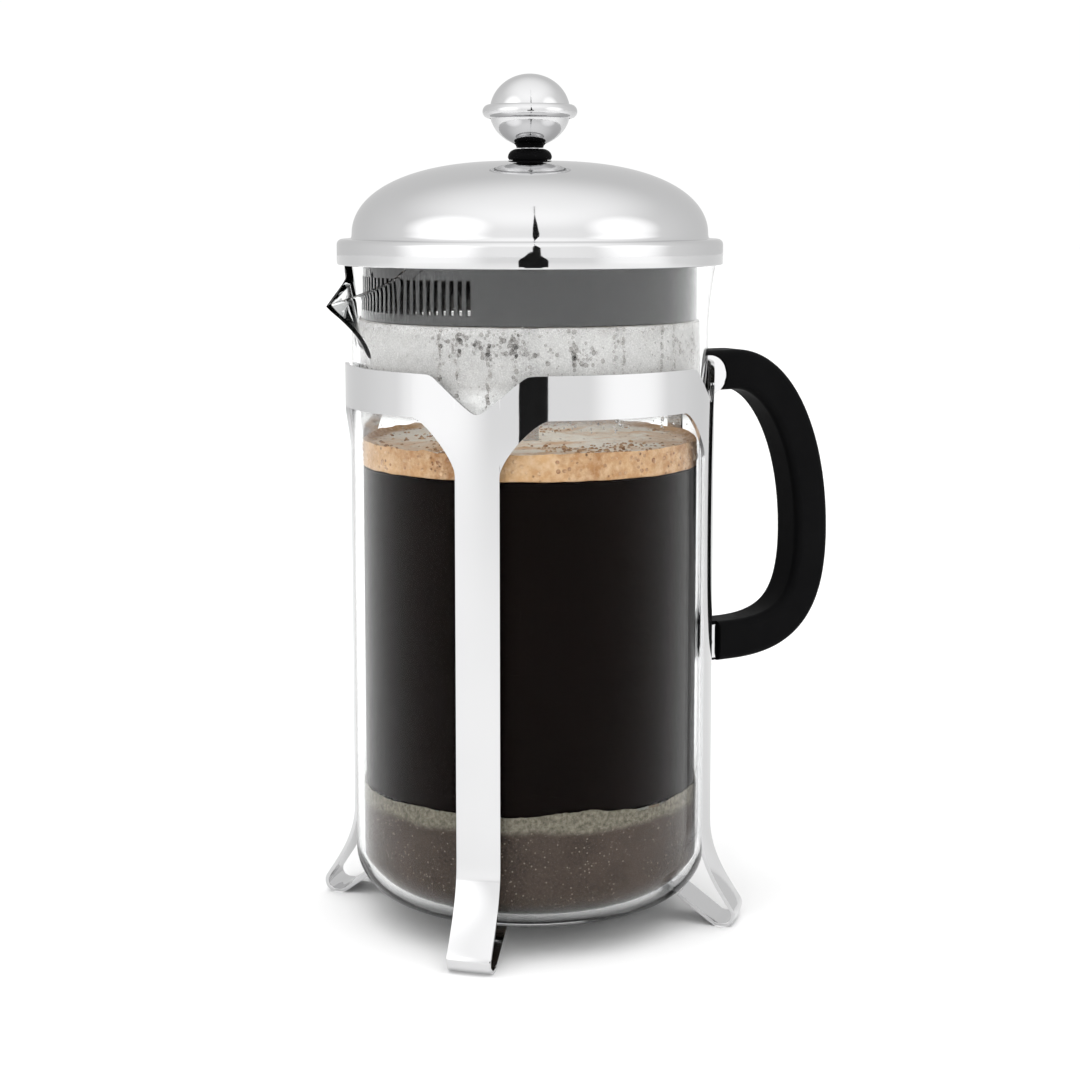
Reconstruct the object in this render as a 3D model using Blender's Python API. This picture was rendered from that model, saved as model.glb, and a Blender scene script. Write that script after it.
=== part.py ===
"""French press coffee maker: a glass beaker in a four-legged steel frame, a domed lid and a plunger.

Metres, +Z up, standing on z = 0. The handle points along +X and the spout along -X. The beaker's
axis stands at AXIS_X, so that the origin is the middle of the footprint of the whole object.
"""

from math import acos, asin, atan2, cos, degrees, hypot, pi, radians, sin, sqrt

import bmesh
import bpy
from mathutils import Vector
from mathutils.geometry import interpolate_bezier

# Driving dimensions.
GAP = 0.0003
STEPS = 48
SMALL_STEPS = 24
FINE_STEPS = 12

BEAKER_RADIUS = 0.048
BEAKER_WALL = 0.002
BEAKER_BOTTOM = 0.0062
BEAKER_FLOOR = 0.003
BEAKER_CORNER = 0.012
RIM_TOP = 0.180
RIM_FLARE = 0.0018
RIM_ROUND = 0.0006
SPOUT_REACH = 0.0599
SPOUT_START = 0.152
SPOUT_DROP = 0.012
SPOUT_HALF_ANGLE = radians(17)
SPOUT_DROP_ANGLE = radians(24)
SPOUT_PINCH = 1.3
SPOUT_RISE = 1.6
SPOUT_SAG = 0.75
# How far the wall has opened out at each height, on its way up to the rim.
RIM_GROWTH = ((0.0, SPOUT_START), (0.0, 0.160), (0.0004, 0.167), (0.0011, 0.172), (RIM_FLARE, 0.177))

SHEET = 0.001
BAND_RADIUS = 0.0494
BAND_TOP = 0.1512
BAND_BOTTOM = 0.140
NOTCH_BOTTOM = 0.1414
NOTCH_SLOPE = 0.88
NOTCH_ROUND = 0.0015
NOTCH_BLEND = 0.0008
LEG_ANGLES = (45, 135, 225, 315)
LEG_HALF = 0.0058
LEG_ROOT = 0.126
ARM_HALF = 0.0185
ARM_CURVE_START = 0.130
ARM_CURVE_END = 0.0145
LEG_STRAIGHT = 0.075
FLARE_TOP = 0.026
FLARE_HANDLE = 0.017
FOOT_BEND = 0.0028
FOOT_CENTRE = 0.0556
FOOT_SLOPE = 33
FOOT_LEAD = 0.0065
FOOT_FLAT = 0.001
RETURN_BEND = 0.003
RETURN_ANGLE = radians(36.5)
RETURN_LENGTH = 0.0117
EAR_Y = 0.0049
EAR_BEND = 0.0015
EAR_TIP = 0.0608
EAR_HALF = (BAND_TOP - BAND_BOTTOM) / 2
EAR_MIDDLE = (BAND_TOP + BAND_BOTTOM) / 2

BRACKET_SHEET = 0.0008
BRACKET_Y = 0.0037
BRACKET_X = 0.0491
BRACKET_FLANGE_END = 0.0590
UPPER_LUG_TOP = 0.1497
UPPER_LUG_BOTTOM = 0.1415
LOWER_LUG_TOP = 0.0736
LOWER_LUG_BOTTOM = 0.0640

HANDLE_HALF = 0.0057
HANDLE_CORNER = 0.0022
HANDLE_TOP_Z = 0.1468
HANDLE_LOW_Z = 0.0687
HANDLE_MIDDLE = 0.0922
HANDLE_REACH = HANDLE_MIDDLE + HANDLE_HALF
HANDLE_TONGUE = 0.0030
HANDLE_START = 0.0520
HANDLE_BEND_X = 0.065
HANDLE_SIDE_Z = 0.098
UPPER_HANDLE_CURVE = (0.080, 0.126)
LOWER_HANDLE_CURVE = (0.0845, 0.077)
LOWER_TONGUE_END = 0.0596
RECESS_BACK = 0.045
RECESS_SIDE = 0.008
EAR_RECESS_BELOW = 0.002
LUG_RECESS_HALF = 0.009
RIVET_RADIUS = 0.0015
UPPER_RIVET_X = 0.0552
UPPER_RIVET_HALF = EAR_Y + SHEET / 2 + 0.0002
LOWER_RIVET_X = 0.0560
LOWER_RIVET_HALF = BRACKET_Y + BRACKET_SHEET / 2 + 0.0006
RIVET_CUTTER_HALF = 0.02

LID_EDGE_RADIUS = 0.0518
LID_EDGE_BOTTOM = 0.1775
LID_EDGE_TOP = 0.1843
LID_EDGE_ROUND = 0.0015
LID_SHEET = 0.0008
DOME_RADIUS = 0.0478
DOME_BASE = 0.1856
DOME_TOP = 0.2050
DOME_FLAT = 0.0079
DOME_COVE = 0.0008
DOME_CURVE = (0.033, 0.1965)
DOME_INNER_CURVE = (0.0327, 0.1960)
SKIRT_RADIUS = 0.0450
SKIRT_WALL = 0.0012
SKIRT_BOTTOM = 0.1629
WEB_BOTTOM = 0.1760
WEB_TOP = 0.1774
FLANGE_RADIUS = 0.0505
FLANGE_TOP = 0.1832
SLOT_BOTTOM = 0.1657
SLOT_TOP = 0.1745
SLOT_COUNT = 29
SLOT_PITCH = radians(2.9)

COLLAR_RADIUS = 0.0059
SHANK_RADIUS = 0.0047
SHANK_BOTTOM = 0.1708
WASHER_RADIUS = 0.0078
WASHER_SHEET = 0.0008
NUT_RADIUS = 0.0085
NUT_RECESS = 0.0004
ROD_RADIUS = 0.0024
ROD_TOP = 0.2190
ROD_BOTTOM = 0.0262

KNOB_RADIUS = 0.01075
KNOB_EQUATOR = 0.2181
KNOB_TOP = 0.2281
KNOB_RISE_BELOW = 0.0093
KNOB_SHEET = 0.0009
KNOB_MOUTH = 0.0047
RING_RADIUS = 0.01275
RING_HALF = 0.00185
FERRULE_RADIUS = 0.0044
FERRULE_NECK = 0.0036
FERRULE_BOTTOM = 0.2085
FERRULE_RIM = 0.2100
FERRULE_LIP = 0.0006
INSERT_RADIUS = 0.0052
INSERT_CAP = 0.0030

PLATE_RADIUS = 0.0440
PLATE_BOTTOM = 0.0306
PLATE_SHEET = 0.0008
SPOKE_INNER = 0.0110
SPOKE_OUTER = 0.0360
SPOKES = 8
MESH_RADIUS = 0.0456
MESH_FLAT = 0.0430
MESH_SHEET = 0.0005
MESH_RIM = 0.0058
SPIRAL_FLAT = 0.0385
SPIRAL_LIP = 0.0405
SPIRAL_RISE = 0.0028
COIL_RADIUS = 0.0017
COIL_CENTRE = 0.0431
HUB_RADIUS = 0.0070
HUB_HEIGHT = 0.0062
HUB_NUT_RADIUS = 0.0065

AXIS_X = (SPOUT_REACH - HANDLE_REACH) / 2


def clear_scene():
    for obj in list(bpy.data.objects):
        bpy.data.objects.remove(obj, do_unlink=True)


def material(name, colour, roughness, metallic, alpha=1.0):
    mat = bpy.data.materials.new(name)
    mat.use_nodes = True
    shader = mat.node_tree.nodes["Principled BSDF"]
    shader.inputs["Base Color"].default_value = (*colour, 1.0)
    shader.inputs["Roughness"].default_value = roughness
    shader.inputs["Metallic"].default_value = metallic
    shader.inputs["Alpha"].default_value = alpha
    return mat


def empty(name, parent=None):
    obj = bpy.data.objects.new(name, None)
    bpy.context.scene.collection.objects.link(obj)
    obj.parent = parent
    return obj


def from_bmesh(name, bm, mat, parent, sharp=35):
    bmesh.ops.recalc_face_normals(bm, faces=bm.faces)
    mesh = bpy.data.meshes.new(name)
    bm.to_mesh(mesh)
    bm.free()
    mesh.shade_smooth()
    mesh.set_sharp_from_angle(angle=radians(sharp))
    mesh.materials.append(mat)
    obj = bpy.data.objects.new(name, mesh)
    bpy.context.scene.collection.objects.link(obj)
    obj.parent = parent
    return obj


def curve(start, first, second, end, points):
    """Points along a cubic curve in the (radius, height) plane, both ends included."""
    corners = [Vector((r, 0, z)) for r, z in (start, first, second, end)]
    return [(p.x, p.z) for p in interpolate_bezier(*corners, points)]


def arc(centre, radius, start, end, points):
    """Points on a circle in the (radius, height) plane, from one angle in degrees to another."""
    turn = [radians(start + (end - start) * i / (points - 1)) for i in range(points)]
    return [(centre[0] + radius * cos(a), centre[1] + radius * sin(a)) for a in turn]


def spun(profile, steps, closed=True):
    """The surface that a profile of (radius, height) points sweeps round the Z axis."""
    bm = bmesh.new()
    points = [bm.verts.new((r, 0, z)) for r, z in profile]
    edges = [bm.edges.new(pair) for pair in zip(points, points[1:])]
    if closed:
        edges.append(bm.edges.new((points[-1], points[0])))
    bmesh.ops.spin(bm, geom=points + edges, cent=(0, 0, 0), axis=(0, 0, 1), angle=2 * pi,
                   steps=steps, use_merge=True)
    bmesh.ops.remove_doubles(bm, verts=bm.verts, dist=1e-7)
    return bm


def turned(name, profile, mat, parent, steps=STEPS, closed=True):
    return from_bmesh(name, spun(profile, steps, closed), mat, parent)


def tube_ring(name, inner, outer, bottom, top, mat, parent, steps):
    """A plain round ring, with its four corners taken off where it is thick enough."""
    bevel = min(outer - inner, top - bottom) / 5
    profile = [
        (outer, top - bevel), (outer, bottom + bevel), (outer - bevel, bottom),
        (inner, bottom), (inner, top), (outer - bevel, top),
    ]
    return turned(name, profile, mat, parent, steps)


def cutter(name, bm, parent):
    obj = from_bmesh(name, bm, bpy.data.materials["steel"], parent)
    obj.hide_render = True
    obj.display_type = "WIRE"
    return obj


def cut(obj, tool):
    modifier = obj.modifiers.new(tool.name, "BOOLEAN")
    modifier.operation = "DIFFERENCE"
    modifier.object = tool
    modifier.solver = "EXACT"


def cross_pin(name, x, z, radius, half, mat, parent):
    """A cylinder along Y, centred at (x, z)."""
    bm = bmesh.new()
    ends = []
    for y in (-half, half):
        ring = [
            bm.verts.new((x + radius * cos(2 * pi * i / FINE_STEPS), y,
                          z + radius * sin(2 * pi * i / FINE_STEPS)))
            for i in range(FINE_STEPS)
        ]
        bm.faces.new(ring)
        ends.append(ring)
    for i in range(FINE_STEPS):
        j = (i + 1) % FINE_STEPS
        bm.faces.new((ends[0][i], ends[0][j], ends[1][j], ends[1][i]))
    if mat is None:
        bmesh.ops.recalc_face_normals(bm, faces=bm.faces)
        return cutter(name, bm, parent)
    return from_bmesh(name, bm, mat, parent)


# Beaker.


def spout_shape(point):
    """Pushes the rim out and down into a pinched V over the spout's angle."""
    base = hypot(point.x, point.y)
    angle = abs(pi - abs(atan2(point.y, point.x)))
    height = min(1.0, (point.z - SPOUT_START) / (RIM_TOP - RIM_ROUND - SPOUT_START))
    if height <= 0 or angle >= SPOUT_DROP_ANGLE:
        return
    reach = SPOUT_REACH - BEAKER_RADIUS - RIM_FLARE
    push = reach * max(0.0, 1 - angle / SPOUT_HALF_ANGLE) ** SPOUT_PINCH * height**SPOUT_RISE
    drop = SPOUT_DROP * (1 - angle / SPOUT_DROP_ANGLE) ** SPOUT_SAG * height
    point.x *= (base + push) / base
    point.y *= (base + push) / base
    point.z -= drop


def make_beaker(mat, parent):
    outer, inner = BEAKER_RADIUS, BEAKER_RADIUS - BEAKER_WALL
    corner = (outer - BEAKER_CORNER, BEAKER_BOTTOM + BEAKER_CORNER)
    floor_top = BEAKER_BOTTOM + BEAKER_FLOOR
    inner_corner = BEAKER_CORNER - BEAKER_WALL
    inner_centre = (inner - inner_corner, floor_top + inner_corner)
    edge = RIM_TOP - RIM_ROUND
    inside = [(inner + grow, z) for grow, z in RIM_GROWTH]
    outside = [(outer + grow, z) for grow, z in RIM_GROWTH]
    rim = [(inner + RIM_FLARE, edge), (inner + RIM_FLARE + RIM_ROUND, RIM_TOP),
           (outer + RIM_FLARE - RIM_ROUND, RIM_TOP), (outer + RIM_FLARE, edge)]
    profile = (
        [(0, floor_top)] + arc(inner_centre, inner_corner, -90, 0, 4) + inside + rim
        + outside[::-1] + arc(corner, BEAKER_CORNER, 0, -90, 5) + [(0, BEAKER_BOTTOM)]
    )
    bm = spun(profile, STEPS, closed=False)
    for vert in bm.verts:
        spout_shape(vert.co)
    return from_bmesh("beaker", bm, mat, parent)


# Frame: one bent and folded sheet, drawn as its middle surface and then thickened.


def notch_top(s):
    """Height of the sheet's upper edge at a distance s from a leg's middle: a rounded V."""
    edge = NOTCH_BOTTOM + NOTCH_SLOPE * (sqrt(s * s + NOTCH_ROUND**2) - NOTCH_ROUND)
    below = BAND_TOP - edge
    return BAND_TOP - (below + sqrt(below * below + NOTCH_BLEND**2)) / 2


def leg_offsets():
    """(distance from the leg's middle, lower edge) from the leg's middle out along one arm."""
    arm = curve((LEG_HALF, LEG_ROOT), (LEG_HALF, ARM_CURVE_START), (ARM_CURVE_END, BAND_BOTTOM),
                (ARM_HALF, BAND_BOTTOM), 6)
    return [(s, LEG_ROOT) for s in (0.0, 0.0013, 0.0031)] + arm


def band_columns():
    """(angle, top, bottom, on a leg) for every column of the ring, from ear to ear."""
    ear_angle = asin((EAR_Y + EAR_BEND) / (BAND_RADIUS + EAR_BEND))
    offsets = leg_offsets()
    columns = []
    previous = ear_angle
    for leg in LEG_ANGLES:
        middle = radians(leg)
        first = middle - ARM_HALF / BAND_RADIUS
        fill = max(2, round((first - previous) / radians(6)))
        start = 0 if previous == ear_angle else 1
        for i in range(start, fill):
            columns.append((previous + (first - previous) * i / fill, BAND_TOP, BAND_BOTTOM, False))
        for s, bottom in reversed(offsets[1:]):
            columns.append((middle - s / BAND_RADIUS, notch_top(s), bottom, s <= LEG_HALF))
        for s, bottom in offsets:
            columns.append((middle + s / BAND_RADIUS, notch_top(s), bottom, s <= LEG_HALF))
        previous = middle + ARM_HALF / BAND_RADIUS
    last = 2 * pi - ear_angle
    fill = round((last - previous) / radians(6))
    for i in range(1, fill + 1):
        columns.append((previous + (last - previous) * i / fill, BAND_TOP, BAND_BOTTOM, False))
    return columns


def ear_columns(side):
    """(x, y, top, bottom) from the ring's end round the bend and out to the ear's round tip."""
    bend_y = EAR_Y + EAR_BEND
    bend_x = sqrt((BAND_RADIUS + EAR_BEND) ** 2 - bend_y**2)
    start = degrees(atan2(-bend_y, -bend_x))
    places = [
        (bend_x + EAR_BEND * cos(radians(a)), bend_y + EAR_BEND * sin(radians(a)), EAR_HALF)
        for a in [start + (-90 - start) * i / 3 for i in range(1, 4)]
    ]
    middle = EAR_TIP - EAR_HALF
    for a in (0, 25, 50, 70, 83):
        places.append((middle + EAR_HALF * sin(radians(a)), EAR_Y, EAR_HALF * cos(radians(a))))
    return [(x, side * y, EAR_MIDDLE + h, EAR_MIDDLE - h) for x, y, h in places]


def leg_path():
    """(radius, height) down a leg, round the foot's bend and back up under the beaker."""
    bend = (FOOT_CENTRE, SHEET / 2 + FOOT_BEND)
    slope = radians(FOOT_SLOPE)
    knee = (bend[0] + FOOT_BEND * cos(slope), bend[1] + FOOT_BEND * sin(slope))
    before = (knee[0] - FOOT_LEAD * sin(slope), knee[1] + FOOT_LEAD * cos(slope))
    flare = curve((BAND_RADIUS, FLARE_TOP), (BAND_RADIUS, FLARE_HANDLE), before, knee, 6)
    foot = arc(bend, FOOT_BEND, FOOT_SLOPE, -90, 6)
    heel = FOOT_CENTRE - FOOT_FLAT
    turn_up = arc((heel, SHEET / 2 + RETURN_BEND), RETURN_BEND, -90, -90 - degrees(RETURN_ANGLE), 3)
    end_x, end_z = turn_up[-1]
    tip = (end_x - RETURN_LENGTH * cos(RETURN_ANGLE), end_z + RETURN_LENGTH * sin(RETURN_ANGLE))
    return [(BAND_RADIUS, LEG_STRAIGHT)] + flare + foot[1:] + turn_up + [tip]


def make_frame(mat, parent):
    bm = bmesh.new()
    rows = 2

    def column(x, y, top, bottom):
        return [bm.verts.new((x, y, top + (bottom - top) * i / rows)) for i in range(rows + 1)]

    def join(left, right):
        for i in range(len(left) - 1):
            bm.faces.new((left[i], left[i + 1], right[i + 1], right[i]))

    ring = band_columns()
    columns = [column(*place) for place in reversed(ear_columns(1))]
    first = len(columns)
    for angle, top, bottom, _ in ring:
        columns.append(column(BAND_RADIUS * cos(angle), BAND_RADIUS * sin(angle), top, bottom))
    columns += [column(*place) for place in ear_columns(-1)]
    for left, right in zip(columns, columns[1:]):
        join(left, right)

    legs = {}
    for i, (angle, _, _, on_leg) in enumerate(ring):
        if not on_leg:
            continue
        leg = min(LEG_ANGLES, key=lambda a: abs(angle - radians(a)))
        s = (angle - radians(leg)) * BAND_RADIUS
        strip = [columns[first + i][-1]]
        for radius, height in leg_path():
            turn = radians(leg) + s / radius
            strip.append(bm.verts.new((radius * cos(turn), radius * sin(turn), height)))
        legs.setdefault(leg, []).append(strip)
    for strips in legs.values():
        for left, right in zip(strips, strips[1:]):
            join(left, right)

    obj = from_bmesh("frame", bm, mat, parent)
    thicken(obj, SHEET)
    cut(obj, bpy.data.objects["upper_rivet_hole"])
    return obj


def thicken(obj, thickness):
    modifier = obj.modifiers.new("sheet", "SOLIDIFY")
    modifier.thickness = thickness
    modifier.offset = 0
    modifier.use_even_offset = True


# Handle and what holds it.


def make_rivets_and_holes(mat, parent):
    upper, lower = (UPPER_RIVET_X, EAR_MIDDLE), (LOWER_RIVET_X, HANDLE_LOW_Z)
    cross_pin("upper_rivet_hole", *upper, RIVET_RADIUS + GAP, RIVET_CUTTER_HALF, None, parent)
    cross_pin("lower_rivet_hole", *lower, RIVET_RADIUS + GAP, RIVET_CUTTER_HALF, None, parent)
    cross_pin("upper_rivet", *upper, RIVET_RADIUS, UPPER_RIVET_HALF, mat, parent)
    cross_pin("lower_rivet", *lower, RIVET_RADIUS, LOWER_RIVET_HALF, mat, parent)


def make_bracket(mat, parent):
    """A channel down the beaker's back, with two pairs of lugs that take the handle's ends."""
    bm = bmesh.new()
    path = [(BRACKET_FLANGE_END, BRACKET_Y), (BRACKET_X, BRACKET_Y), (BRACKET_X, 0.0)]
    path += [(x, -y) for x, y in reversed(path[:-1])]
    heights = (UPPER_LUG_TOP, UPPER_LUG_BOTTOM, LOWER_LUG_TOP, LOWER_LUG_BOTTOM)
    grid = [[bm.verts.new((x, y, z)) for z in heights] for x, y in path]
    corner = 1
    for i in range(len(path) - 1):
        on_web = corner <= i < len(path) - 1 - corner
        for j in (0, 1, 2) if on_web else (0, 2):
            bm.faces.new((grid[i][j], grid[i][j + 1], grid[i + 1][j + 1], grid[i + 1][j]))
    obj = from_bmesh("handle_bracket", bm, mat, parent)
    thicken(obj, BRACKET_SHEET)
    for tool in ("upper_rivet_hole", "lower_rivet_hole"):
        cut(obj, bpy.data.objects[tool])
    return obj


def handle_line():
    """The (x, z) middle line of the handle, from its upper end round to its lower end."""
    side = (HANDLE_MIDDLE, HANDLE_SIDE_Z)
    upper_x, upper_z = UPPER_HANDLE_CURVE
    lower_x, lower_z = LOWER_HANDLE_CURVE
    upper = curve((HANDLE_BEND_X, HANDLE_TOP_Z), (upper_x, HANDLE_TOP_Z), (HANDLE_MIDDLE, upper_z),
                  side, 10)
    lower = curve(side, (HANDLE_MIDDLE, lower_z), (lower_x, HANDLE_LOW_Z),
                  (HANDLE_BEND_X, HANDLE_LOW_Z), 10)
    return [(HANDLE_START, HANDLE_TOP_Z)] + upper + lower[1:] + [(HANDLE_START, HANDLE_LOW_Z)]


def handle_section():
    """(across, outward) corners of the handle's rounded square section."""
    flat = HANDLE_HALF - HANDLE_CORNER
    section = []
    for quarter, (a, b) in enumerate(((1, 1), (-1, 1), (-1, -1), (1, -1))):
        for step in (0, 45, 90):
            turn = radians(90 * quarter + step)
            section.append((a * flat + HANDLE_CORNER * cos(turn), b * flat + HANDLE_CORNER * sin(turn)))
    return section


def make_handle(mat, parent):
    bm = bmesh.new()
    line = handle_line()
    rings = []
    for i, (x, z) in enumerate(line):
        before, after = line[max(i - 1, 0)], line[min(i + 1, len(line) - 1)]
        run, rise = after[0] - before[0], after[1] - before[1]
        length = hypot(run, rise)
        out = (-rise / length, run / length)
        rings.append([
            bm.verts.new((x + outward * out[0], across, z + outward * out[1]))
            for across, outward in handle_section()
        ])
    count = len(rings[0])
    for left, right in zip(rings, rings[1:]):
        for i in range(count):
            j = (i + 1) % count
            bm.faces.new((left[i], left[j], right[j], right[i]))
    bm.faces.new(rings[0])
    bm.faces.new(rings[-1])
    obj = from_bmesh("handle", bm, mat, parent)
    for side in (1, -1):
        cut(obj, ear_recess(side, parent))
        cut(obj, lug_recess(side, parent))
    for tool in ("upper_rivet_hole", "lower_rivet_hole"):
        cut(obj, bpy.data.objects[tool])
    return obj


def prism(name, outline, low, high, parent):
    """A cutter with an (x, z) outline, from y = low to y = high."""
    bm = bmesh.new()
    face = bm.faces.new([bm.verts.new((x, low, z)) for x, z in outline])
    moved = bmesh.ops.extrude_face_region(bm, geom=[face])["geom"]
    verts = [item for item in moved if isinstance(item, bmesh.types.BMVert)]
    bmesh.ops.translate(bm, verts=verts, vec=(0, high - low, 0))
    return cutter(name, bm, parent)


def ear_recess(side, parent):
    middle = EAR_TIP - EAR_HALF
    radius = EAR_HALF + GAP
    under = EAR_MIDDLE - radius - EAR_RECESS_BELOW
    outline = [(RECESS_BACK, under), (middle, under)]
    outline += arc((middle, EAR_MIDDLE), radius, -90, 90, 9)
    outline += [(RECESS_BACK, EAR_MIDDLE + radius)]
    ends = sorted((side * HANDLE_TONGUE, side * RECESS_SIDE))
    return prism(f"ear_recess_{side}", outline, *ends, parent)


def lug_recess(side, parent):
    low, high = HANDLE_LOW_Z - LUG_RECESS_HALF, HANDLE_LOW_Z + LUG_RECESS_HALF
    outline = [(RECESS_BACK, low), (LOWER_TONGUE_END, low), (LOWER_TONGUE_END, high), (RECESS_BACK, high)]
    ends = sorted((side * HANDLE_TONGUE, side * RECESS_SIDE))
    return prism(f"lug_recess_{side}", outline, *ends, parent)


# Lid.


def make_lid_dome(mat, parent):
    hole = SHANK_RADIUS + GAP
    t = LID_SHEET
    out_x, out_z = DOME_CURVE
    in_x, in_z = DOME_INNER_CURVE
    outer = curve((DOME_FLAT, DOME_TOP), (out_x, DOME_TOP), (DOME_RADIUS, out_z), (DOME_RADIUS, DOME_BASE), 8)
    inner = curve((DOME_FLAT, DOME_TOP - t), (in_x, DOME_TOP - t), (DOME_RADIUS - t, in_z),
                  (DOME_RADIUS - t, DOME_BASE - t), 6)
    turn = (LID_EDGE_RADIUS - LID_EDGE_ROUND, LID_EDGE_TOP - LID_EDGE_ROUND)
    profile = [(hole, DOME_TOP)] + outer + [(DOME_RADIUS + DOME_COVE, LID_EDGE_TOP)]
    profile += arc(turn, LID_EDGE_ROUND, 90, 0, 3)
    profile += [(LID_EDGE_RADIUS, LID_EDGE_BOTTOM), (LID_EDGE_RADIUS - t, LID_EDGE_BOTTOM)]
    profile += [(LID_EDGE_RADIUS - t, turn[1]), (turn[0], LID_EDGE_TOP - t)]
    profile += inner[::-1] + [(hole, DOME_TOP - t)]
    return turned("lid_dome", profile, mat, parent)


def liner_angles():
    """Angles round the liner: close together over the strainer's slots, wider elsewhere."""
    half = SLOT_COUNT * SLOT_PITCH / 2
    steps = 2 * SLOT_COUNT
    slotted = [pi - half + SLOT_PITCH / 4 + i * SLOT_PITCH / 2 for i in range(steps)]
    rest = 2 * pi - (slotted[-1] - slotted[0])
    plain = round(rest / (2 * pi / STEPS))
    return slotted, [slotted[-1] + rest * i / plain for i in range(1, plain)]


def make_lid_liner(mat, parent):
    inner = SKIRT_RADIUS - SKIRT_WALL
    hole = SHANK_RADIUS + GAP
    flange = RIM_TOP + GAP
    profile = [
        (hole, WEB_TOP), (inner, WEB_TOP), (inner, FLANGE_TOP), (FLANGE_RADIUS, FLANGE_TOP),
        (FLANGE_RADIUS, flange), (SKIRT_RADIUS, flange), (SKIRT_RADIUS, SLOT_TOP),
        (SKIRT_RADIUS, SLOT_BOTTOM), (SKIRT_RADIUS, SKIRT_BOTTOM), (inner, SKIRT_BOTTOM),
        (inner, SLOT_BOTTOM), (inner, SLOT_TOP), (inner, WEB_BOTTOM), (hole, WEB_BOTTOM),
    ]
    outside, inside = 6, 10
    slotted, plain = liner_angles()
    angles = slotted + plain
    bm = bmesh.new()
    grid = [[bm.verts.new((r * cos(a), r * sin(a), z)) for r, z in profile] for a in angles]
    count = len(profile)
    for i, left in enumerate(grid):
        right = grid[(i + 1) % len(grid)]
        window = i < len(slotted) - 1 and i % 2 == 0
        for j in range(count):
            k = (j + 1) % count
            if window and j in (outside, inside):
                continue
            bm.faces.new((left[j], left[k], right[k], right[j]))
        if window:
            top, low = (outside, inside + 1), (outside + 1, inside)
            for near, far in (top, low):
                bm.faces.new((left[near], left[far], right[far], right[near]))
            for side in (left, right):
                bm.faces.new((side[outside], side[outside + 1], side[inside], side[inside + 1]))
    return from_bmesh("lid_liner", bm, mat, parent)


def make_bushing(mat, parent):
    bore = ROD_RADIUS + GAP
    seat = DOME_TOP + GAP
    top = FERRULE_BOTTOM - GAP
    dome = curve((0.0038, top), (0.0052, top - 0.0003), (COLLAR_RADIUS, seat + 0.0017),
                 (COLLAR_RADIUS, seat + 0.0006), 5)
    profile = [(bore, top)] + dome
    profile += [(COLLAR_RADIUS - 0.0003, seat), (SHANK_RADIUS, seat), (SHANK_RADIUS, SHANK_BOTTOM)]
    profile += [(bore, SHANK_BOTTOM)]
    return turned("lid_bushing", profile, mat, parent, SMALL_STEPS)


def hex_nut(name, across, bore, bottom, top, mat, parent):
    """A six-sided nut with a round bore."""
    bm = bmesh.new()
    levels = []
    for z in (bottom, top):
        outer, inner = [], []
        for i in range(24):
            a = 2 * pi * i / 24
            face = cos((a % (pi / 3)) - pi / 6)
            reach = across * cos(pi / 6) / face
            outer.append(bm.verts.new((reach * cos(a), reach * sin(a), z)))
            inner.append(bm.verts.new((bore * cos(a), bore * sin(a), z)))
        levels.append((outer, inner))
    (low_out, low_in), (high_out, high_in) = levels
    for i in range(24):
        j = (i + 1) % 24
        bm.faces.new((low_out[i], low_out[j], high_out[j], high_out[i]))
        bm.faces.new((low_in[j], low_in[i], high_in[i], high_in[j]))
        bm.faces.new((high_out[i], high_out[j], high_in[j], high_in[i]))
        bm.faces.new((low_out[j], low_out[i], low_in[i], low_in[j]))
    return from_bmesh(name, bm, mat, parent, sharp=20)


# Plunger.


def shell_arc(rise, start, end, points, inset=0.0):
    """Points on the knob's outline, at angles above (or below) its equator."""
    turn = [radians(start + (end - start) * i / (points - 1)) for i in range(points)]
    radius = KNOB_RADIUS - inset
    return [(radius * cos(a), KNOB_EQUATOR + (rise - inset) * sin(a)) for a in turn]


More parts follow.
